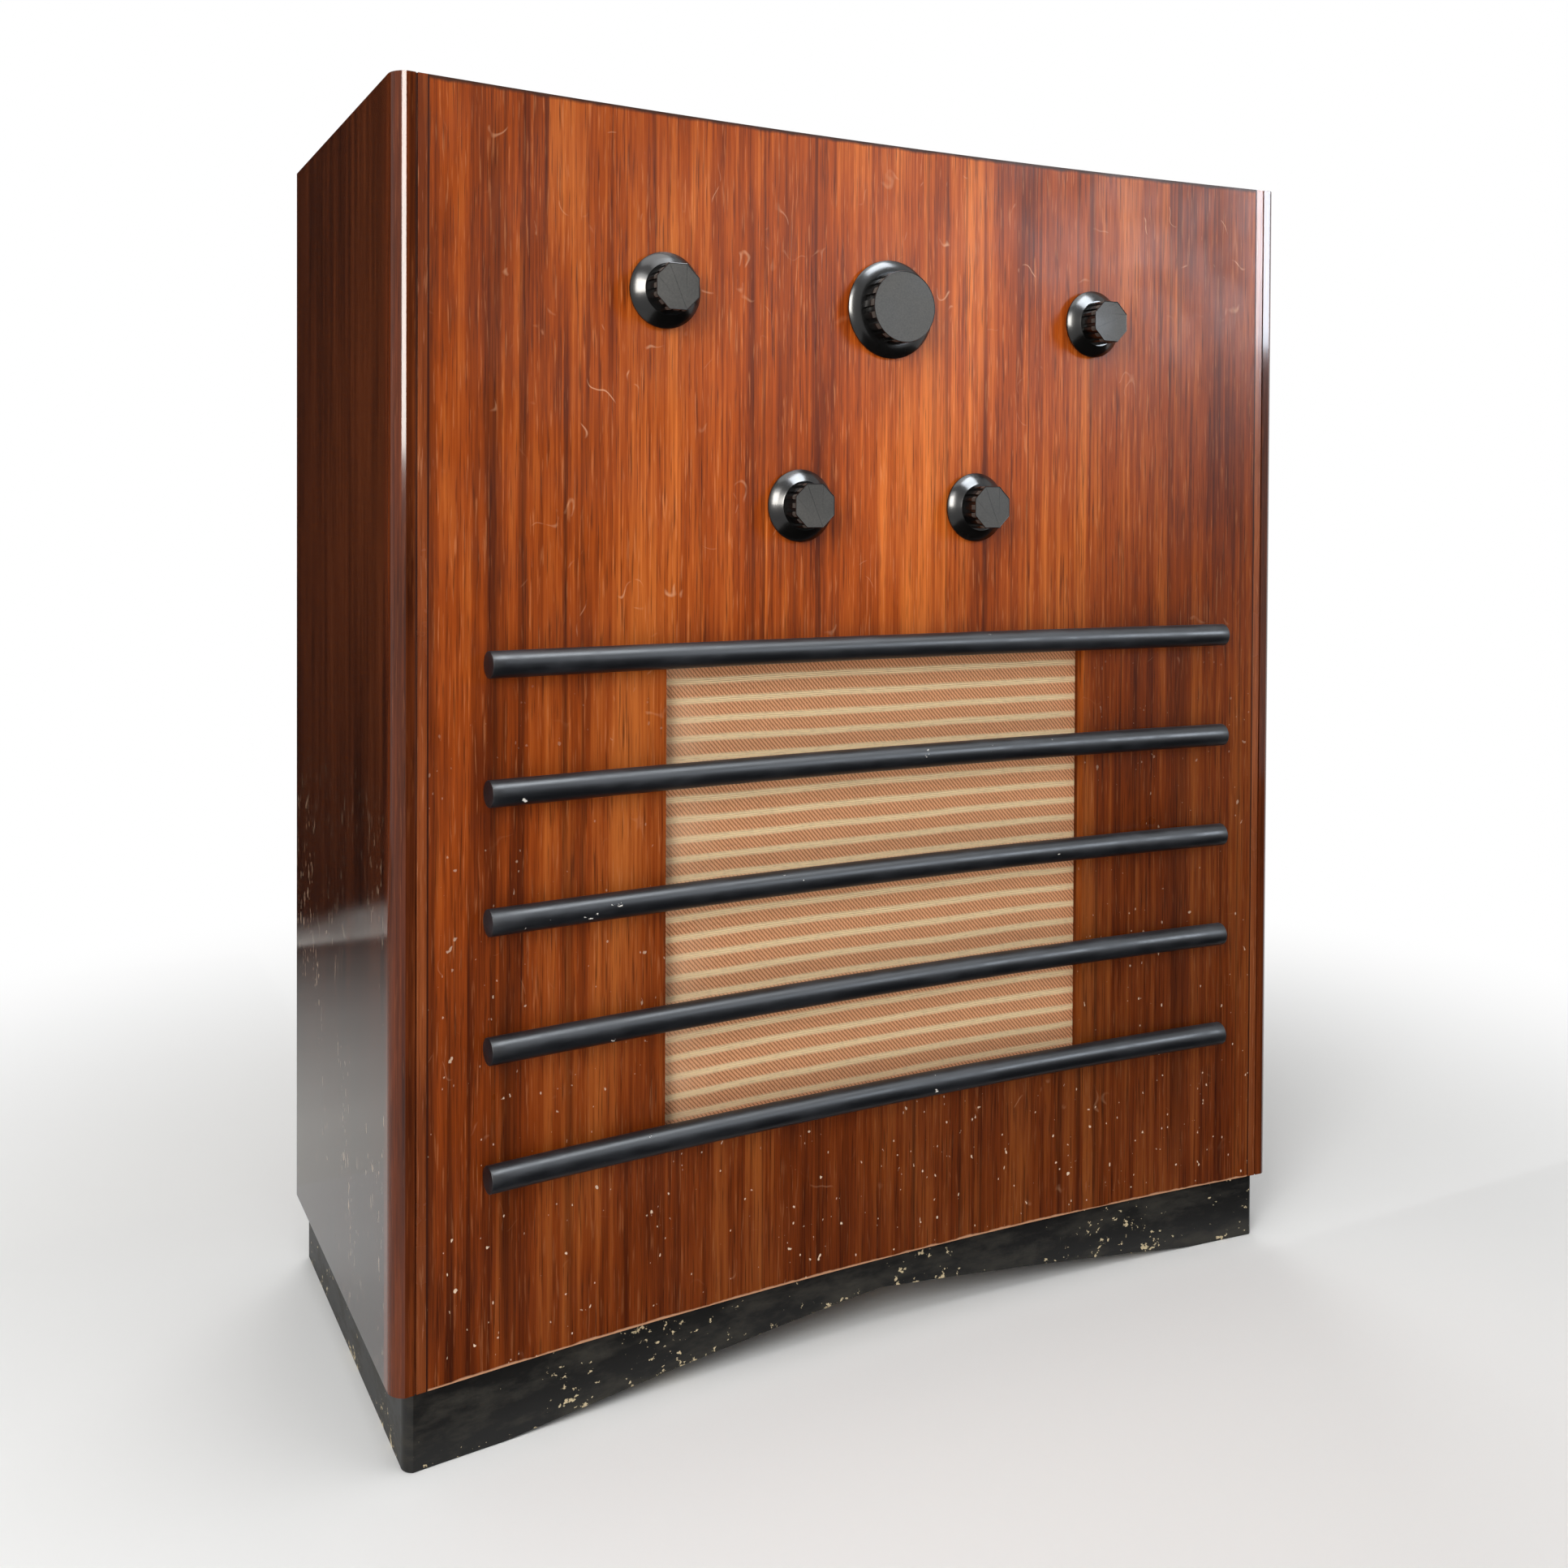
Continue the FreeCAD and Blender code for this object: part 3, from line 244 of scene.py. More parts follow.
def makeStage(look):
    scene = bpy.context.scene
    scene.view_settings.view_transform = "Standard"
    world = bpy.data.worlds.new("studio")
    scene.world = world
    world.use_nodes = True
    tree = world.node_tree
    tree.nodes.clear()

    def seen(tree):
        path = add(tree, "LightPath").outputs
        glassy = reckon(tree, "MAXIMUM", path["Is Glossy Ray"], path["Is Transmission Ray"])
        return reckon(tree, "MAXIMUM", path["Is Camera Ray"], glassy)

    grey = look["worldGrey"]
    soft = add(tree, "Background", {"Color": (grey, grey, grey, 1), "Strength": 1.0}).outputs[0]
    white = add(tree, "Background", {"Color": (1, 1, 1, 1), "Strength": 1.0}).outputs[0]
    both = add(tree, "MixShader", {0: seen(tree), 1: soft, 2: white}).outputs[0]
    add(tree, "OutputWorld", {"Surface": both})

    bm = bmesh.new()
    bmesh.ops.create_circle(bm, cap_ends=True, segments=96, radius=look["floorSize"] / 2)
    bmesh.ops.translate(bm, vec=(0, 0, -0.0004), verts=bm.verts)
    mesh = bpy.data.meshes.new("floor")
    bm.to_mesh(mesh)
    bm.free()
    floor = bpy.data.objects.new("floor", mesh)
    scene.collection.objects.link(floor)
    material, tree, shader = startMaterial("paleFloor", colour=look["floorColour"], roughness=0.6, shine=0.2)
    # far from the object the floor runs out into the white background
    distance = add(tree, "VectorMath", {0: add(tree, "TexCoord").outputs["Object"]}, operation="LENGTH").outputs[1]
    far = level(tree, distance, look["fadeFrom"], look["fadeTo"], easing="SMOOTHSTEP")
    glow = add(tree, "Emission", {"Color": (1, 1, 1, 1), "Strength": 1.0}).outputs[0]
    share = reckon(tree, "MULTIPLY", far, seen(tree))
    blend = add(tree, "MixShader", {0: share, 1: shader.outputs[0], 2: glow}).outputs[0]
    tree.links.new(blend, tree.nodes["Material Output"].inputs[0])
    mesh.materials.append(material)

    for name, (centre, width, height, turn, fade) in look["cards"].items():
        bm = bmesh.new()
        bmesh.ops.create_grid(bm, x_segments=2, y_segments=2, size=0.5)
        bmesh.ops.scale(bm, vec=(width, height, 1), verts=bm.verts)
        bmesh.ops.rotate(bm, cent=(0, 0, 0), matrix=Matrix.Rotation(math.radians(turn), 3, "X"), verts=bm.verts)
        bmesh.ops.translate(bm, vec=centre, verts=bm.verts)
        mesh = bpy.data.meshes.new(name)
        bm.to_mesh(mesh)
        bm.free()
        material, tree, shader = startMaterial(name + "Black", colour=look["cardColour"], roughness=1.0, shine=0.0)
        if fade:
            axis, darkAt, paleAt = fade
            ragged = level(tree, cloud(tree, space(tree, (1, 1, 2)), 5.0, 4, 0.6), 0.3, 0.7, -0.04, 0.04)
            amount = level(tree, reckon(tree, "ADD", axes(tree)[axis], ragged), darkAt, paleAt)
            coloured(tree, shader, mixed(tree, amount, look["cardColour"], look["cardPale"]))
        mesh.materials.append(material)
        card = bpy.data.objects.new(name, mesh)
        card.visible_camera = card.visible_diffuse = card.visible_transmission = card.visible_shadow = False
        scene.collection.objects.link(card)

    for name, (place, aim, width, height, watts, lights, shines, colour) in look["lamps"].items():
        light = bpy.data.lights.new(name, "AREA")
        light.shape, light.size, light.size_y, light.energy, light.color = "RECTANGLE", width, height, watts, colour
        lamp = bpy.data.objects.new(name, light)
        lamp.location = place
        lamp.rotation_euler = (Vector(aim) - Vector(place)).to_track_quat("-Z", "Y").to_euler()
        lamp.visible_diffuse, lamp.visible_glossy = lights, shines
        scene.collection.objects.link(lamp)


makeCamera(cameraLook)
makeStage(stageLook)
print("camera, stage and lamps set")


# Woods

veneerLook = {
    "dark": paint(104, 40, 7), "middle": paint(158, 69, 15), "light": paint(202, 108, 42),
    "pore": paint(58, 21, 5), "pale": paint(226, 148, 92), "figure": 7.0, "roughness": 0.34, "shine": 0.10, "coat": 0.0,
    # the low shade and its lean paint shade onto the veneer: darker towards the foot and towards the right
    "coatRoughness": 0.16, "bump": 0.08, "paintedLowShade": 0.45, "paintedShadeLean": 0.64, "pores": 0.60, "flecks": 0.28,
    # dark streaks: across, half width, from, to, strength
    "streaks": [(-0.335, 0.010, 0.05, 0.42, 0.65), (-0.392, 0.006, 0.05, 0.95, 0.4), (0.31, 0.014, 0.05, 0.6, 0.35),
                (-0.345, 0.011, 0.40, 1.02, 0.5), (-0.285, 0.006, 0.05, 0.52, 0.45), (0.26, 0.010, 0.30, 0.62, 0.3)],
}
sideLook = {
    "dark": paint(46, 20, 9), "middle": paint(80, 37, 16), "light": paint(108, 53, 25), "pore": paint(24, 10, 6),
    "pale": paint(128, 72, 40), "figure": 5.0, "roughness": 0.10, "shine": 0.28, "coat": 0.0, "coatRoughness": 0.05,
    # the side's low shade falls steeply below the middle: a painted dark reflection
    "bump": 0.03, "paintedLowShade": 0.15, "paintedShadeLean": 0.0, "pores": 0.35, "flecks": 0.2, "streaks": [],
}
postLook = {
    "dark": paint(60, 25, 11), "middle": paint(98, 44, 19), "light": paint(128, 62, 28), "pore": paint(28, 12, 6),
    "pale": paint(150, 86, 50), "figure": 9.0, "roughness": 0.10, "shine": 0.18, "coat": 0.12, "coatRoughness": 0.05,
    "bump": 0.03, "paintedLowShade": 0.85, "paintedShadeLean": 0.0, "pores": 0.35, "flecks": 0.2, "streaks": [],
}
lippingLook = {
    "dark": paint(108, 48, 20), "middle": paint(146, 74, 34), "light": paint(176, 98, 50), "pore": paint(62, 27, 13),
    "pale": paint(206, 140, 96), "figure": 9.0, "roughness": 0.24, "shine": 0.2, "coat": 0.1, "coatRoughness": 0.08,
    "bump": 0.05, "paintedLowShade": 0.7, "paintedShadeLean": 0.2, "pores": 0.4, "flecks": 0.3, "streaks": [],
}
deckLook = {
    "dark": paint(56, 26, 15), "middle": paint(92, 46, 26), "light": paint(120, 64, 36), "pore": paint(34, 16, 10),
    "pale": paint(140, 86, 54), "figure": 7.0, "roughness": 0.42, "shine": 0.3, "coat": 0.0, "coatRoughness": 0.3,
    "bump": 0.12, "paintedLowShade": 1.0, "paintedShadeLean": 0.0, "pores": 0.4, "flecks": 0.2, "streaks": [],
}
plyLook = {
    "dark": paint(150, 112, 74), "middle": paint(178, 142, 100), "light": paint(200, 168, 124),
    "pore": paint(120, 84, 52), "pale": paint(214, 186, 146), "figure": 5.0, "roughness": 0.7, "shine": 0.25,
    "coat": 0.0, "coatRoughness": 0.3, "bump": 0.15, "paintedLowShade": 1.0, "paintedShadeLean": 0.0, "pores": 0.25, "flecks": 0.2,
    "streaks": [],
}
wearLook = {
    "scratch": paint(236, 178, 134), "chip": paint(232, 204, 174), "arris": paint(64, 36, 22),
    # arris, foot and seam: a dark line along the front panel's top edge, a pale line along its foot, and a dark line
    # beside each bead
    "foot": paint(196, 146, 112), "seam": paint(52, 24, 12), "topEdge": 0.9972, "footEdge": 0.0618, "seamPlace": 0.3930,
}


def wood(name, look, grain="z", worn=""):
    material, tree, shader = startMaterial(name, shine=look["shine"], coat=look["coat"],
                                           coatRoughness=look["coatRoughness"])

    def grained(scale, amount, detail=3, rough=0.55, shift=(0, 0, 0), twist=0.0):
        stretch = {"x": (amount, 1, 1), "y": (1, amount, 1), "z": (1, 1, amount)}[grain]
        return cloud(tree, space(tree, stretch, shift=shift), scale, detail, rough, twist)

    def part(amount, share):
        return reckon(tree, "MULTIPLY", amount, share)

    # broad figure, bands of a few millimetres and fine lines make the tone, then flecks, pores and long dark lines
    figure = grained(look["figure"], 0.20, 4, 0.6, twist=0.9)
    ripple = grained(22, 0.11, 3, 0.6, (6, 2, 0), 0.4)
    bands = grained(95, 0.014, 3, 0.6, (1, 2, 0))
    lines = grained(330, 0.015, 4, 0.7, (3, 0, 1))
    tone = reckon(tree, "ADD", reckon(tree, "ADD", part(figure, 0.30), part(ripple, 0.20)),
                  reckon(tree, "ADD", part(bands, 0.22), part(lines, 0.28)))
    colour = shades(tree, tone, [(0.412, look["dark"]), (0.5, look["middle"]), (0.59, look["light"])])
    pale = level(tree, grained(620, 0.05, 2, 0.5, (0, 4, 4)), 0.60, 0.70)
    colour = mixed(tree, part(pale, look["flecks"]), colour, look["pale"])
    pores = level(tree, grained(900, 0.025, 2, 0.5, (5, 5, 0)), 0.57, 0.68)
    colour = mixed(tree, part(pores, look["pores"]), colour, look["pore"])
    veins = level(tree, grained(150, 0.006, 2, 0.5, (2, 7, 0)), 0.60, 0.67)
    colour = mixed(tree, part(veins, look["pores"] * 0.75), colour, look["pore"])

    across, depth, up = axes(tree)
    for place, half, low, high, strength in look["streaks"]:
        wander = level(tree, cloud(tree, space(tree, (0, 0, 1)), 3.0), 0, 1, -0.012, 0.012)
        offset = reckon(tree, "ABSOLUTE", reckon(tree, "SUBTRACT", reckon(tree, "ADD", across, wander), place))
        inside = level(tree, offset, half, 0, easing="SMOOTHSTEP")
        ends = reckon(tree, "MULTIPLY", level(tree, up, low, low + 0.1), level(tree, up, high, high - 0.1))
        amount = part(reckon(tree, "MULTIPLY", inside, ends), strength)
        colour = mixed(tree, amount, colour, look["pore"])
    if look["paintedLowShade"] < 1:
        # painted shade: darker towards the foot, and more so on the right, standing in for the lamps' light falling
        # off; on the front it is partly the veneer's own darker tone
        place = reckon(tree, "SUBTRACT", up, part(across, look["paintedShadeLean"]))
        shade = level(tree, place, 0.02, 0.80, look["paintedLowShade"], 1.0, "SMOOTHSTEP")
        colour = mixed(tree, 1.0, colour, add(tree, "CombineColor", {0: shade, 1: shade, 2: shade}).outputs[0], "MULTIPLY")
    if worn == "rubbed":
        # pale rubs and nicks, running up and down, mostly below the middle
        nicks = level(tree, cloud(tree, space(tree, (1, 1, 0.35), shift=(1, 5, 2)), 190, 3, 0.65), 0.60, 0.66)
        herd = level(tree, cloud(tree, space(tree, (1, 1, 0.6), shift=(3, 2, 2)), 9, 3), 0.42, 0.58)
        place = reckon(tree, "MULTIPLY", level(tree, up, 0.50, 0.32), level(tree, up, 0.05, 0.22, 0.25, 1.0))
        nicks = reckon(tree, "MULTIPLY", nicks, reckon(tree, "MULTIPLY", herd, place))
        colour = mixed(tree, part(nicks, 0.75), colour, wearLook["chip"])
    if worn == "front":
        # painted light: brighter and more golden in the middle of the upper half, a painted pool of the lamps' light
        spot = add(tree, "CombineXYZ", {0: reckon(tree, "SUBTRACT", across, 0.02), 2: part(reckon(tree, "SUBTRACT", up, 0.79), 0.9)})
        reach = add(tree, "VectorMath", {0: spot.outputs[0]}, operation="LENGTH").outputs[1]
        glow = level(tree, reach, 0.38, 0.05, 0.92, 1.42, "SMOOTHSTEP")
        colour = mixed(tree, 1.0, colour, add(tree, "CombineColor", {0: glow, 1: glow, 2: glow}).outputs[0], "MULTIPLY")
        # fine curved scratches in patches, chips low down, and the lines along the panel's edges
        curve = cloud(tree, space(tree, (1, 1, 0.7), shift=(3, 1, 2)), 34, 1)
        hair = level(tree, reckon(tree, "ABSOLUTE", reckon(tree, "SUBTRACT", curve, 0.5)), 0.012, 0.003)
        broken = level(tree, cloud(tree, space(tree, shift=(8, 1, 4)), 46, 2), 0.58, 0.66)
        patch = level(tree, cloud(tree, space(tree, shift=(3, 9, 2)), 5, 2), 0.46, 0.62)
        patch = reckon(tree, "MULTIPLY", patch, level(tree, up, 0.50, 0.72, 0.3, 1.0))
        colour = mixed(tree, part(reckon(tree, "MULTIPLY", reckon(tree, "MULTIPLY", hair, broken), patch), 0.6),
                       colour, wearLook["scratch"])
        chips = level(tree, cloud(tree, space(tree, (1, 1, 0.7), shift=(1, 5, 2)), 230, 1), 0.745, 0.775)
        chips = reckon(tree, "MULTIPLY", chips, level(tree, up, 0.60, 0.10, 0.0, 1.0))
        colour = mixed(tree, chips, colour, wearLook["chip"])
        ragged = level(tree, cloud(tree, space(tree, shift=(0, 0, 6)), 60, 3), 0.3, 0.7, -0.0008, 0.0008)
        height = reckon(tree, "ADD", up, ragged)
        colour = mixed(tree, level(tree, height, wearLook["topEdge"] - 0.001, wearLook["topEdge"] + 0.0015), colour,
                       wearLook["arris"])
        colour = mixed(tree, level(tree, height, wearLook["footEdge"], wearLook["footEdge"] - 0.001), colour,
                       wearLook["foot"])
        out = reckon(tree, "ABSOLUTE", across)
        colour = mixed(tree, level(tree, out, wearLook["seamPlace"], wearLook["seamPlace"] + 0.0012), colour,
                       wearLook["seam"])
    haze = cloud(tree, space(tree, shift=(2, 2, 7)), 11, 4, 0.6)
    roughness = level(tree, haze, 0.3, 0.7, look["roughness"] * 0.8, look["roughness"] * 1.25)
    coloured(tree, shader, colour, roughness)
    raised(tree, shader, reckon(tree, "SUBTRACT", lines, pores), look["bump"], 0.0003)
    return material


# the front wear also paints a pool of light in the middle of the upper half
frontVeneer = wood("frontVeneer", veneerLook, "z", "front")
sideVeneer = wood("sideVeneer", sideLook, "z", "rubbed")
lidVeneer = wood("lidVeneer", {**sideLook, "dark": paint(74, 31, 15), "middle": paint(118, 54, 26),
                               "light": paint(150, 78, 40), "roughness": 0.16, "paintedLowShade": 1.0}, "x")
postWood = wood("postWood", postLook, "z")
lippingWood = wood("lippingWood", lippingLook, "z")
deckWood = wood("deckWood", deckLook, "x")
plyWood = wood("plyWood", plyLook, "x")

plinthLook = {"paint": paint(14, 13, 11), "worn": paint(58, 54, 44), "chip": paint(206, 188, 150), "shine": 0.30,
              "roughness": 0.45, "chipFrom": 0.76, "chipSize": 170, "gather": 0.16, "scuffs": 0.8, "bump": 0.12,
              "edgeRise": 0.032, "edgeHalf": 0.333}
rodLook = {"paint": paint(12, 14, 19), "worn": paint(34, 37, 44), "chip": paint(235, 230, 222), "shine": 0.42,
           "roughness": 0.38, "chipFrom": 0.785, "chipSize": 110, "gather": 0.10, "scuffs": 0.5, "bump": 0.05,
           "edgeRise": 0, "edgeHalf": 0}


def blackPaint(name, look):
    material, tree, shader = startMaterial(name, shine=look["shine"])
    scuff = level(tree, cloud(tree, space(tree, (0.35, 0.35, 1), shift=(4, 0, 1)), 42, 5, 0.7), 0.45, 0.72)
    colour = mixed(tree, reckon(tree, "MULTIPLY", scuff, look["scuffs"]), look["paint"], look["worn"])
    # chips gather in clusters, and along the edge that the look names: its rise in the middle and its half length
    clusters = level(tree, cloud(tree, space(tree, shift=(6, 1, 1)), 13, 3), 0.40, 0.66)
    if look["edgeRise"]:
        across, depth, up = axes(tree)
        edge = level(tree, reckon(tree, "ABSOLUTE", across), 0, look["edgeHalf"], look["edgeRise"], 0)
        clusters = reckon(tree, "ADD", clusters, level(tree, reckon(tree, "SUBTRACT", up, edge), 0.014, 0, 0, 0.45))
    grit = cloud(tree, space(tree, (0.8, 0.8, 1), shift=(0, 7, 3)), look["chipSize"], 4, 0.65)
    flake = reckon(tree, "ADD", grit, reckon(tree, "MULTIPLY", clusters, look["gather"]))
    flake = level(tree, flake, look["chipFrom"], look["chipFrom"] + 0.02)
    colour = mixed(tree, flake, colour, look["chip"])
    rough = level(tree, scuff, 0, 1, look["roughness"], look["roughness"] + 0.2)
    coloured(tree, shader, colour, rough)
    relief = reckon(tree, "SUBTRACT", cloud(tree, space(tree), 600, 2), flake)
    raised(tree, shader, relief, look["bump"], 0.0004)
    return material


plinthBlack = blackPaint("plinthBlack", plinthLook)
rodBlack = blackPaint("rodBlack", rodLook)

hardboardLook = {"dark": paint(74, 48, 30), "light": paint(112, 78, 50)}


def hardboard(name, look):
    material, tree, shader = startMaterial(name, shine=0.25)
    fibres = cloud(tree, space(tree, (1, 1, 0.6)), 240, 6, 0.75, 1.2)
    blotch = cloud(tree, space(tree), 9, 3)
    tone = reckon(tree, "ADD", reckon(tree, "MULTIPLY", fibres, 0.6), reckon(tree, "MULTIPLY", blotch, 0.4))
    coloured(tree, shader, shades(tree, tone, [(0.36, look["dark"]), (0.62, look["light"])]),
             level(tree, fibres, 0.3, 0.7, 0.55, 0.8))
    raised(tree, shader, fibres, 0.25, 0.0005)
    return material


backHardboard = hardboard("backHardboard", hardboardLook)
conePaper = hardboard("conePaper", {"dark": paint(28, 24, 21), "light": paint(52, 45, 39)})


# Plastics and metals

def smoothFinish(name, dark, light, roughness, grainSize=300, grainStretch=(1, 1, 1), bump=0.05, **more):
    # one colour with a little wear: a slow drift, a fine tooth and uneven gloss
    material, tree, shader = startMaterial(name, **more)
    drift = cloud(tree, space(tree), 14, 3)
    tooth = cloud(tree, space(tree, grainStretch), grainSize, 3, 0.6)
    tone = reckon(tree, "ADD", reckon(tree, "MULTIPLY", drift, 0.55), reckon(tree, "MULTIPLY", tooth, 0.45))
    coloured(tree, shader, shades(tree, tone, [(0.36, dark), (0.64, light)]),
             level(tree, drift, 0.3, 0.7, roughness * 0.8, roughness * 1.3))
    raised(tree, shader, tooth, bump, 0.0003)
    return material


glossBakelite = smoothFinish("glossBakelite", paint(6, 6, 6), paint(14, 13, 12), 0.24, 500, bump=0.02, shine=0.3,
                             coat=0.25, coatRoughness=0.13)
mattBakelite = smoothFinish("mattBakelite", paint(62, 60, 56), paint(84, 81, 76), 0.5, 700, shine=0.25)
brownBakelite = smoothFinish("brownBakelite", paint(28, 15, 10), paint(54, 30, 19), 0.20, 260, bump=0.02, shine=0.5)
brass = smoothFinish("brass", paint(176, 138, 66), paint(214, 178, 100), 0.28, 260, (1, 0.08, 1), metal=1.0)
bronze = smoothFinish("bronzeLacquer", paint(92, 66, 44), paint(138, 102, 70), 0.34, 320, metal=0.85)
steel = smoothFinish("steel", paint(150, 151, 153), paint(196, 196, 197), 0.30, 340, (1, 0.06, 1), metal=1.0)
vaneAlloy = smoothFinish("vaneAlloy", paint(176, 178, 180), paint(212, 213, 214), 0.36, 340, (0.06, 1, 1), metal=1.0)
blackMetal = smoothFinish("blackMetal", paint(22, 22, 23), paint(44, 43, 42), 0.42, 420, bump=0.2, shine=0.5)
platterPaint = smoothFinish("platterPaint", paint(62, 44, 32), paint(92, 68, 50), 0.32, 420, metal=0.6)
dialCard = smoothFinish("dialCard", paint(214, 196, 152), paint(236, 221, 184), 0.5, 380, shine=0.3)
dialInk = smoothFinish("dialInk", paint(28, 22, 20), paint(44, 36, 32), 0.6, 380, shine=0.2)
pointerRed = smoothFinish("pointerRed", paint(134, 20, 14), paint(168, 32, 22), 0.35, 380, shine=0.5)


def glass(name, tint, roughness):
    material, tree, shader = startMaterial(name, clear=1.0, bend=1.46, colour=tint)
    smear = cloud(tree, space(tree), 26, 3)
    tree.links.new(level(tree, smear, 0.35, 0.65, roughness, roughness + 0.04), shader.inputs["Roughness"])
    return material


clearGlass = glass("clearGlass", (0.97, 0.99, 0.98, 1), 0.0)
valveGlass = glass("valveGlass", (0.72, 0.73, 0.76, 1), 0.02)

feltLook = {"dark": paint(92, 34, 24), "light": paint(138, 58, 42)}


def makeFelt(look):
    material, tree, shader = startMaterial("redBrownFelt", fuzz=0.5, fuzzRoughness=0.5, shine=0.1)
    fluff = cloud(tree, space(tree), 900, 5, 0.75, 0.6)
    patch = cloud(tree, space(tree), 22, 3)
    tone = reckon(tree, "ADD", reckon(tree, "MULTIPLY", fluff, 0.6), reckon(tree, "MULTIPLY", patch, 0.4))
    coloured(tree, shader, shades(tree, tone, [(0.36, look["dark"]), (0.64, look["light"])]),
             level(tree, fluff, 0.3, 0.7, 0.9, 1.0))
    raised(tree, shader, fluff, 0.5, 0.0006)
    return material


redBrownFelt = makeFelt(feltLook)

weaveLook = {
    "pale": paint(255, 236, 190), "ground": paint(250, 184, 134), "deep": paint(146, 78, 44),
    "bandPitch": 0.0157, "paleShare": 0.33, "softness": 0.09, "thread": 0.0016, "slant": 0.0036, "slope": 0.9,
    "fade": paint(236, 198, 162),
}


def makeWeave(look):
    # pale rib bands between darker bands with a slanting hatch, all in metres on the cloth's own map
    material, tree, shader = startMaterial("grilleWeave", roughness=0.85, shine=0.15, fuzz=0.15, fuzzRoughness=0.4)
    where = add(tree, "UVMap", uv_map="clothMap").outputs[0]
    across, up, unused = add(tree, "SeparateXYZ", {0: where}).outputs

    def mapped(stretch, scale=1.0, detail=3):
        return cloud(tree, add(tree, "Mapping", {"Vector": where, "Scale": stretch}).outputs[0], scale, detail)

    # the bands wander a little, as a hand-stretched cloth's do
    drift = level(tree, mapped((5, 9, 1)), 0.3, 0.7, -0.0012, 0.0012)
    height = reckon(tree, "ADD", up, drift)
    band = reckon(tree, "FRACT", reckon(tree, "DIVIDE", height, look["bandPitch"]))
    pale = level(tree, reckon(tree, "ABSOLUTE", reckon(tree, "SUBTRACT", band, 0.5)),
                 look["paleShare"] / 2 + look["softness"], look["paleShare"] / 2 - look["softness"], easing="SMOOTHSTEP")
    rib = reckon(tree, "ABSOLUTE", reckon(tree, "SINE", reckon(tree, "MULTIPLY", height, math.pi / look["thread"])))
    slope = reckon(tree, "ADD", across, reckon(tree, "MULTIPLY", height, look["slope"]))
    hatch = reckon(tree, "ABSOLUTE", reckon(tree, "SINE", reckon(tree, "MULTIPLY", slope, math.pi / look["slant"])))
    warp = reckon(tree, "ABSOLUTE", reckon(tree, "SINE", reckon(tree, "MULTIPLY", across, math.pi / look["thread"])))
    uneven = mapped((30, 900, 1))
    blotch = mapped((160, 420, 1))
    paleTone = mixed(tree, reckon(tree, "ADD", reckon(tree, "MULTIPLY", rib, 0.4), 0.5), look["ground"], look["pale"])
    strand = reckon(tree, "ADD", level(tree, hatch, 0.15, 0.75, 0, 0.75), reckon(tree, "MULTIPLY", warp, 0.25))
    darkTone = mixed(tree, strand, look["deep"], look["ground"])
    colour = mixed(tree, pale, darkTone, paleTone)
    colour = mixed(tree, 0.4, colour, shades(tree, uneven, [(0.3, (0.80, 0.76, 0.72, 1)), (0.6, (1, 1, 1, 1))]), "MULTIPLY")
    colour = mixed(tree, 0.35, colour, shades(tree, blotch, [(0.35, (0.74, 0.70, 0.68, 1)), (0.5, (1, 1, 1, 1))]), "MULTIPLY")
    worn = reckon(tree, "MULTIPLY", level(tree, across, -0.150, -0.212), level(tree, mapped((18, 26, 1)), 0.35, 0.60))
    colour = mixed(tree, reckon(tree, "MULTIPLY", worn, 0.5), colour, look["fade"])
    coloured(tree, shader, colour)
    relief = add(tree, "Mix", {0: pale, 2: reckon(tree, "MULTIPLY", hatch, warp), 3: reckon(tree, "ADD", rib, 0.4)}).outputs[0]
    raised(tree, shader, relief, 0.6, 0.0007)
    return material


grilleWeave = makeWeave(weaveLook)
print("materials made")

nodeFinishes = {
    frontVeneer: ["front_panel"],
    sideVeneer: ["side_left", "side_right"],
    lidVeneer: ["lid", "rear_rail"],
    postWood: ["corner_post_left", "corner_post_right"],
    lippingWood: ["front_lippings"],
    deckWood: ["motor_board"],
    plyWood: ["bottom_board", "chassis_shelf", "baffle_board"],
    plinthBlack: ["plinth_front", "plinth_left", "plinth_right", "plinth_rear"],
    backHardboard: ["back_cover"],
    conePaper: ["speaker_cone"],
    brownBakelite: ["tuning_drive", "connector_panel"],
    brass: ["lid_hinge_fixed_leaves_and_pins", "lid_hinge_moving_leaves"],
    bronze: ["dial_frame", "pickup_base", "pickup_turret", "arm_rest"],
    steel: ["record_spindle", "speed_lever", "wood_screws", "chassis", "control_plate", "speaker_basket",
            "tuning_condenser_frame"],
    vaneAlloy: ["tuning_condenser_rotor", "coil_cans", "smoothing_capacitor"],
    blackMetal: ["gram_motor", "speaker_magnet", "mains_transformer", "volume_and_tone_controls",
                 "rotary_switches"],
    platterPaint: ["platter"],
    dialCard: ["dial_plate"],
    pointerRed: ["dial_pointer"],
    clearGlass: ["dial_glass"],
    valveGlass: ["valves"],
}
for material, names in nodeFinishes.items():
    for name in names:
        for place in nodes[name].material_slots:
            place.material = material


# The front's curve, read back from the frame

frontLook = {"panelWall": 0.012, "rodRadius": 0.010, "rodGap": 0.0003}
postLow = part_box("corner_post_left")[0]
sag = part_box("front_panel")[1].y - postLow.y - frontLook["panelWall"]
arcRadius = (postLow.x ** 2 + sag ** 2) / (2 * sag)
arcCentre = postLow.y + sag - arcRadius


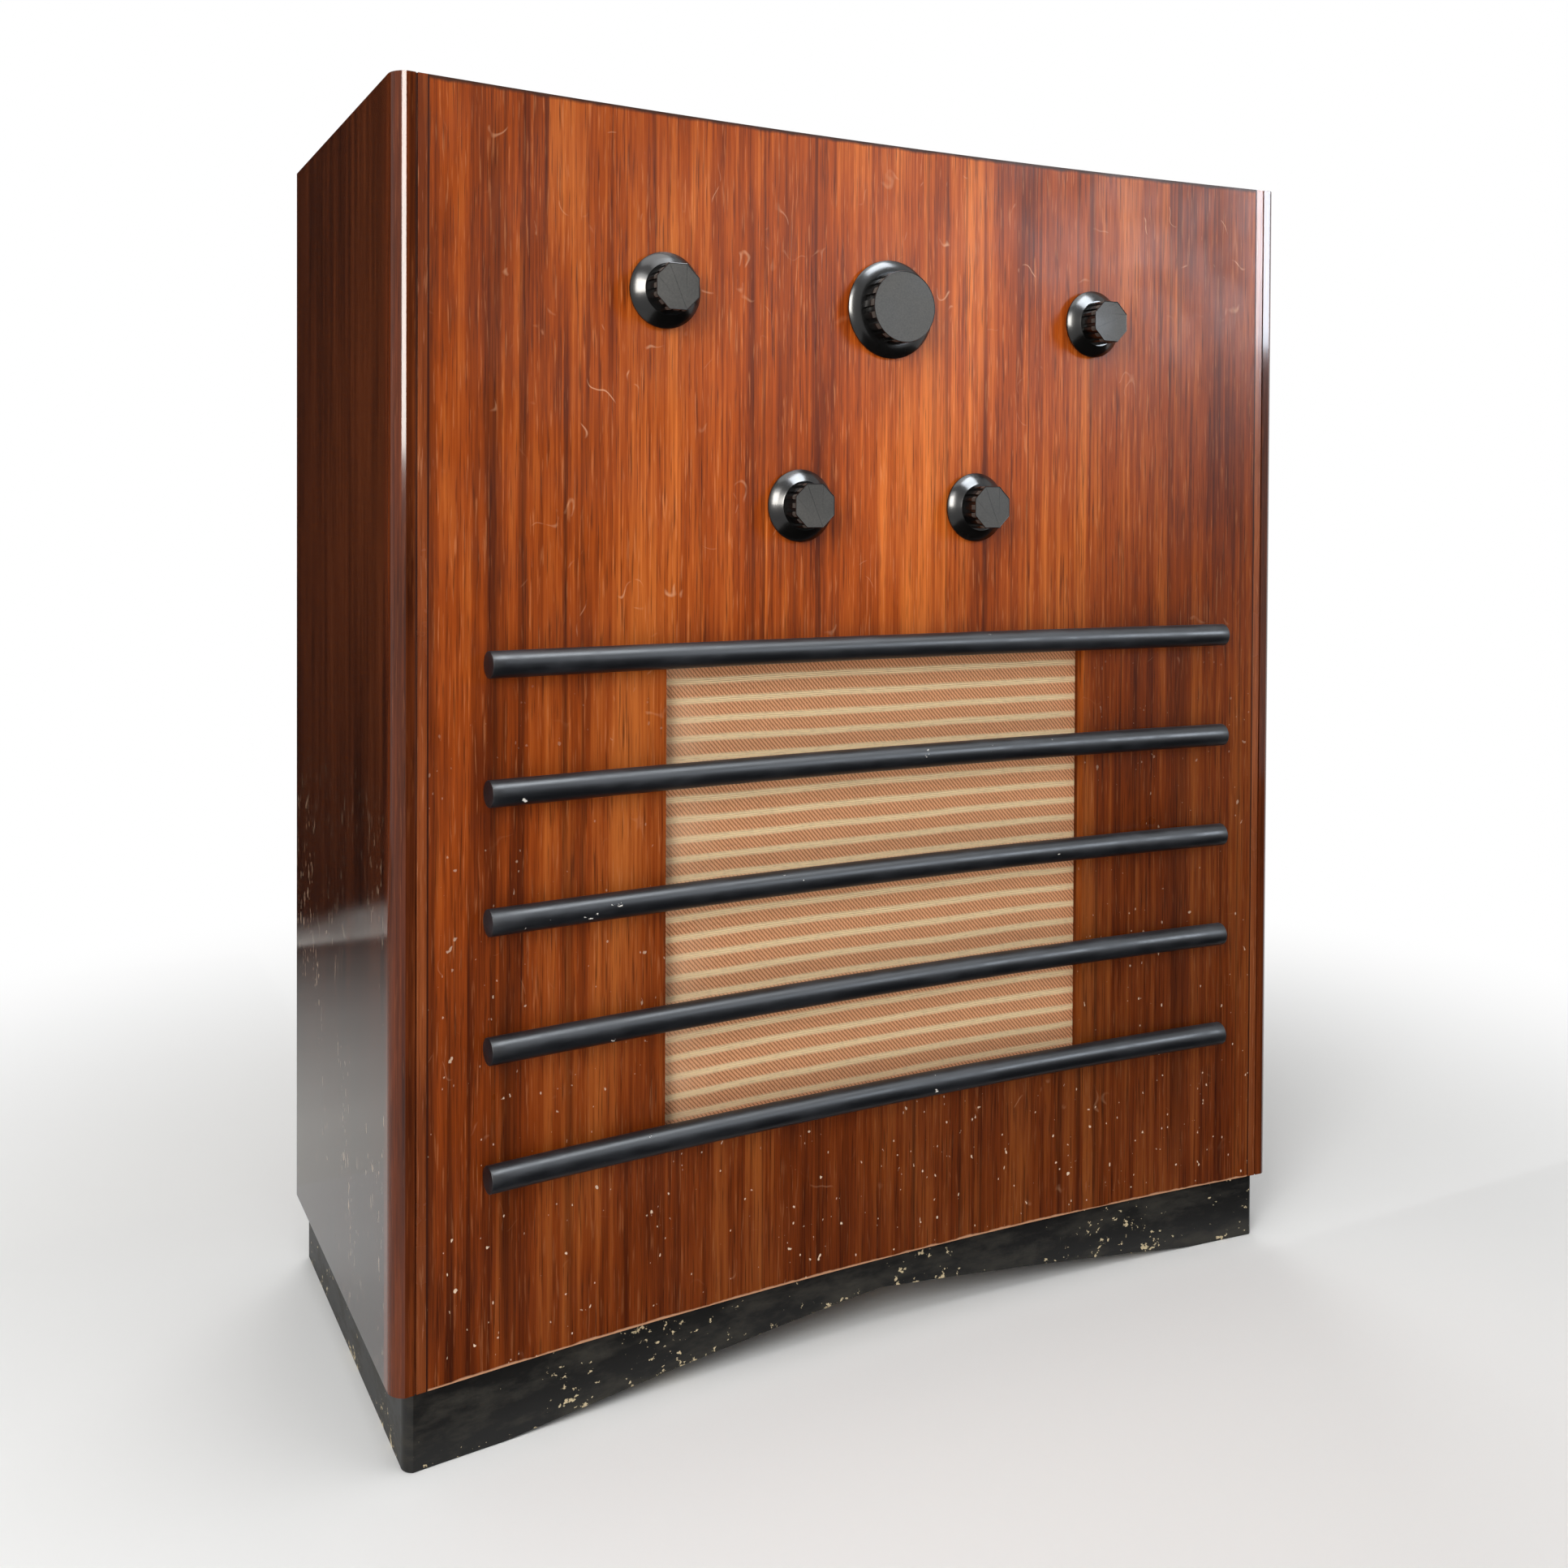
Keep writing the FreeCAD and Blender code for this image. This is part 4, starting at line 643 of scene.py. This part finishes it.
def makeRods(look):
    lineRadius = arcRadius - look["rodRadius"] - look["rodGap"]
    for number in range(1, 6):
        node = f"grille_rod_{number}"
        low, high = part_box(node)
        half = math.asin(high.x / lineRadius)
        bm = bmesh.new()
        bmesh.ops.create_circle(bm, cap_ends=False, segments=36, radius=look["rodRadius"])
        moved(bm, (0, lineRadius, 0), (90, "Y"))
        moved(bm, (0, arcCentre, (low.z + high.z) / 2), (-math.degrees(half), "Z"))
        bmesh.ops.spin(bm, geom=bm.verts[:] + bm.edges[:], cent=(0, arcCentre, 0), axis=(0, 0, 1), angle=2 * half,
                       steps=64, use_merge=False)
        ends = bmesh.ops.holes_fill(bm, edges=[edge for edge in bm.edges if edge.is_boundary], sides=0)["faces"]
        bmesh.ops.recalc_face_normals(bm, faces=bm.faces)
        rims = list({edge for face in ends for edge in face.edges})
        bmesh.ops.bevel(bm, geom=rims, offset=0.0007, offset_type="OFFSET", affect="EDGES", segments=2, profile=0.5,
                        material=-1)
        finished(f"rod_{number}", bm, [rodBlack], "cabinet", "black_wood", node)


makeRods(frontLook)
print("rods made")

clothLook = {"wall": 0.0006, "columns": 96, "rows": 60, "slack": 0.0004}


def makeCloth(look):
    low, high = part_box("grille_cloth")
    bm = bmesh.new()
    bmesh.ops.create_grid(bm, x_segments=look["columns"], y_segments=look["rows"], size=0.5, calc_uvs=False)
    bmesh.ops.rotate(bm, cent=(0, 0, 0), matrix=Matrix.Rotation(math.radians(90), 3, "X"), verts=bm.verts)
    bmesh.ops.scale(bm, vec=(high.x - low.x, 1, high.z - low.z), verts=bm.verts)
    bmesh.ops.translate(bm, vec=((low.x + high.x) / 2, 0, (low.z + high.z) / 2), verts=bm.verts)
    clothRadius = arcRadius + frontLook["panelWall"] + 0.0005
    chart = bm.loops.layers.uv.new("clothMap")
    for vert in bm.verts:
        vert.co.y = arcCentre + math.sqrt(clothRadius ** 2 - vert.co.x ** 2)
    for face in bm.faces:
        for loop in face.loops:
            loop[chart].uv = (clothRadius * math.asin(loop.vert.co.x / clothRadius), loop.vert.co.z)
    cloth = finished("woven_grille_cloth", bm, [grilleWeave], "cabinet", "cloth", "grille_cloth")


makeCloth(clothLook)
print("grille cloth made")


# Knobs: a spun skirt with a smooth dome, a fluted grip and a matt face, on a spindle

knobLooks = {
    # the domes run from the skirt's rim to the foot of the grip, in radius and height;
    # flats cut the grip's outline, and notches run down its side under a plain rim
    "small": {"skirt": 0.0295, "grip": 0.0192, "height": 0.0270, "flats": 8, "flatDepth": 0.0015, "turn": 22.5,
              "notches": 16, "notchDepth": 0.0014, "notchShare": 0.46, "plainRim": 0.0006, "rubbed": 0.005, "spindle": 0.003,
              "dome": [(0.0295, 0.0024), (0.0289, 0.0032), (0.0265, 0.0054), (0.0235, 0.0076), (0.0208, 0.0092),
                       (0.0200, 0.0098)]},
    "large": {"skirt": 0.0410, "grip": 0.0295, "height": 0.0240, "flats": 0, "flatDepth": 0.0, "turn": -4.0,
              "notches": 18, "notchDepth": 0.0020, "notchShare": 0.5, "plainRim": 0.0006, "rubbed": 0.005, "spindle": 0.003,
              "dome": [(0.0410, 0.0022), (0.0402, 0.0030), (0.0376, 0.0046), (0.0344, 0.0061), (0.0318, 0.0069),
                       (0.0304, 0.0070)]},
}


def fromMiddle(look, spot, count):
    # how far a spot round the grip is from the middle of its flat or notch, -1 to 1
    turn = (math.degrees(math.atan2(spot.y, spot.x)) - look["turn"]) / 360
    return 2 * ((turn * count) % 1) - 1


def notchAt(look, spot):
    offset = fromMiddle(look, spot, look["notches"]) / look["notchShare"]
    return min(1, 2.5 * max(0, 1 - offset ** 2))


def makeGrip(look, low, high, notched):
    # a length of the grip, as an upright prism
    bm = bmesh.new()
    grip = look["grip"]
    for vert in bmesh.ops.create_circle(bm, cap_ends=True, segments=720, radius=grip)["verts"]:
        sunk = look["flatDepth"] * (1 - fromMiddle(look, vert.co, look["flats"]) ** 2)
        if notched:
            sunk += look["notchDepth"] * notchAt(look, vert.co)
        vert.co *= 1 - sunk / grip
    moved(bm, (0, 0, low))
    top = bmesh.ops.extrude_face_region(bm, geom=bm.faces[:])["geom"]
    bmesh.ops.translate(bm, vec=(0, 0, high - low), verts=[item for item in top if isinstance(item, bmesh.types.BMVert)])
    bmesh.ops.recalc_face_normals(bm, faces=bm.faces)
    return bm


def makeKnob(node, body, look):
    low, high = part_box(node)
    height, rim = look["height"], look["plainRim"]
    reach = high.y - low.y - height
    step = look["dome"][-1][1]
    base = spun([
        (0, -reach), (look["spindle"] - 0.0006, -reach), (look["spindle"], 0.0006 - reach), (look["spindle"], 0),
        (look["skirt"] - 0.0008, 0), (look["skirt"], 0.0008), *look["dome"], (look["grip"] - 0.004, step), (0, step),
    ], 128)
    sides = makeGrip(look, step - 0.0005, height - rim - look["rubbed"], True)
    ridges = makeGrip(look, height - rim - look["rubbed"], height - rim, True)
    for face in ridges.faces:
        # near the face the ridges are rubbed matt grey and the notches between them stay black; lower down, towards the
        # skirt, the ridges stay black as painted shade
        if abs(face.normal.z) < 0.5 and notchAt(look, face.calc_center_median()) < 0.2:
            face.material_index = 1
    crown = makeGrip(look, height - rim, height, False)
    face = max(crown.faces, key=lambda item: item.calc_center_median().z)
    bmesh.ops.bevel(crown, geom=list(face.edges), offset=0.0004, offset_type="OFFSET", affect="EDGES", segments=2,
                    profile=0.5, material=-1)
    face = max(crown.faces, key=lambda item: (round(item.calc_center_median().z, 5), item.calc_area()))
    bmesh.ops.inset_region(crown, faces=[face], thickness=0.0003, depth=-0.0004)
    face.material_index = 1
    bm = gathered(base, sides, ridges, crown)
    moved(bm, ((low.x + high.x) / 2, low.y + look["height"], (low.z + high.z) / 2), (90, "X"))
    finished(node.replace("knob_", "") + "_knob_turned", bm, [glossBakelite, mattBakelite], body, "bakelite", node,
             crease=28)


for name, size in (("volume", "small"), ("tuning", "large"), ("tone", "small"), ("waveband", "small"), ("gram", "small")):
    makeKnob(f"knob_{name}", f"{name}_knob", knobLooks[size])
print("knobs made")


# Gramophone deck

feltSheet = {"wall": 0.0018, "steps": 128}


def makeFeltMat(look):
    low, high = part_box("felt_mat")
    radius, hole = (high.x - low.x) / 2, 0.0046
    bm = spun([(hole, 0), (hole, look["wall"]), (radius - 0.0008, look["wall"]), (radius, look["wall"] - 0.0008),
               (radius, 0), (hole, 0)], look["steps"])
    moved(bm, ((low.x + high.x) / 2, (low.y + high.y) / 2, low.z))
    mat = finished("felt_disc", bm, [redBrownFelt], "turntable", "felt", "felt_mat")


makeFeltMat(feltSheet)

pickupLook = {"tube": 0.0058, "tubeFront": 0.0046, "fork": 0.0060, "forkOuter": 0.0103, "forkInner": 0.0063,
              "headFront": 0.0085, "needle": 0.0008}


def makePickup(look):
    low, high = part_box("pickup_arm")
    axisX, axisZ = (low.x + high.x) / 2, (low.z + high.z) / 2
    pivotY = high.y - 0.006
    bridgeY = pivotY - 0.018
    ears = [rounded(block((side * look["forkInner"], bridgeY, -look["fork"]),
                          (side * look["forkOuter"], high.y, look["fork"])), 0.0012) for side in (-1, 1)]
    for ear in ears:
        bmesh.ops.recalc_face_normals(ear, faces=ear.faces)
    bridge = rounded(block((-look["forkOuter"], bridgeY, -look["fork"]), (look["forkOuter"], bridgeY + 0.007, look["fork"])),
                     0.0015)
    length = bridgeY - low.y
    tube = spun([(0, 0), (look["tube"] + 0.0002, 0), (look["tube"] + 0.0002, 0.004), (look["tube"] - 0.0008, 0.006),
                 (look["tubeFront"], length - 0.012), (look["tube"] - 0.0002, length - 0.008),
                 (look["tube"] - 0.0002, length), (0, length)], 48)
    rounded(tube, 0.0006)
    moved(tube, (0, bridgeY, 0), (90, "X"))
    bm = moved(gathered(*ears, bridge, tube), (axisX, 0, axisZ))
    finished("pickup_arm_tube", bm, [bronze], "pickup_arm", "bronze", "pickup_arm")

    low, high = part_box("pickup_head")
    shellLow = high.z - 0.019
    shell = block((low.x, low.y, shellLow), (high.x, high.y, high.z))
    bmesh.ops.subdivide_edges(shell, edges=shell.edges[:], cuts=3, use_grid_fill=True)
    for vert in shell.verts:
        toFront = (high.y - vert.co.y) / (high.y - low.y)
        vert.co.x = axisX + (vert.co.x - axisX) * (1 - 0.24 * toFront ** 2)
        if vert.co.z > (shellLow + high.z) / 2:
            vert.co.z -= 0.006 * toFront ** 2
        vert.co.y += 0.0025 * ((vert.co.z - shellLow) / (high.z - shellLow)) * toFront
    rounded(shell, 0.0022, 55, 4)
    needleY = low.y + 0.012
    needle = spun([(0, 0), (look["needle"] * 0.35, 0.0015), (look["needle"], 0.004), (look["needle"], 0.009), (0, 0.009)], 16)
    moved(needle, (axisX, needleY, low.z))
    collar = rounded(spun([(0, 0), (0.0024, 0), (0.0024, 0.0035), (0, 0.0035)], 24), 0.0004)
    moved(collar, (axisX, needleY, shellLow - 0.0022))
    screw = rounded(spun([(0, 0), (0.0026, 0), (0.0026, 0.0045), (0, 0.0045)], 24), 0.0005)
    moved(screw, (axisX, low.y + 0.0047, shellLow + 0.0055), (90, "X"))
    shell = gathered(shell)
    for part in (needle, collar, screw):
        for face in part.faces:
            face.material_index = 1
    bm = gathered(shell, needle, collar, screw)
    bmesh.ops.recalc_face_normals(bm, faces=bm.faces)
    finished("pickup_head_shell", bm, [brownBakelite, steel], "pickup_arm", "bakelite", "pickup_head")


makePickup(pickupLook)
print("mat and pickup made")

dialLook = {"numbers": ("200", "250", "300", "350", "400", "450", "500", "550"), "numberRadius": 0.0275,
            "numberSize": 0.0072, "tickOuter": 0.0415, "longTick": 0.0055, "shortTick": 0.0030, "ink": 0.00012}


def makeDialMarks(look):
    low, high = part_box("dial_plate")
    middle = Vector(((low.x + high.x) / 2, (low.y + high.y) / 2, high.z - 0.00001))
    parts = []
    for index in range(71):
        long = index % 10 == 0
        reach = look["longTick"] if long else look["shortTick"]
        half = 0.00035 if long else 0.0002
        tick = block((-half, look["tickOuter"] - reach, 0), (half, look["tickOuter"], look["ink"]))
        parts.append(moved(tick, middle, (85 - index * 170 / 70, "Z")))
    for radius in (look["tickOuter"], look["numberRadius"] - 0.0075):
        ring = spun([(radius, 0), (radius, look["ink"]), (radius + 0.0003, look["ink"]), (radius + 0.0003, 0),
                     (radius, 0)], 96)
        parts.append(moved(ring, middle))
    for index, word in enumerate(look["numbers"]):
        turn = math.radians(85 - index * 170 / 7)
        letters = bpy.data.curves.new("letters", "FONT")
        letters.body, letters.size, letters.extrude = word, look["numberSize"], look["ink"] / 2
        letters.align_x, letters.align_y = "CENTER", "CENTER"
        holder = bpy.data.objects.new("letters", letters)
        flat = bpy.data.meshes.new_from_object(holder)
        part = bmesh.new()
        part.from_mesh(flat)
        bpy.data.objects.remove(holder)
        bpy.data.curves.remove(letters)
        bpy.data.meshes.remove(flat)
        spot = Vector((-math.sin(turn), math.cos(turn), 0)) * look["numberRadius"]
        parts.append(moved(part, middle + spot + Vector((0, 0, look["ink"] / 2))))
    finished("dial_marks", gathered(*parts), [dialInk], "cabinet", "dial_card")


makeDialMarks(dialLook)
print("dial marked")
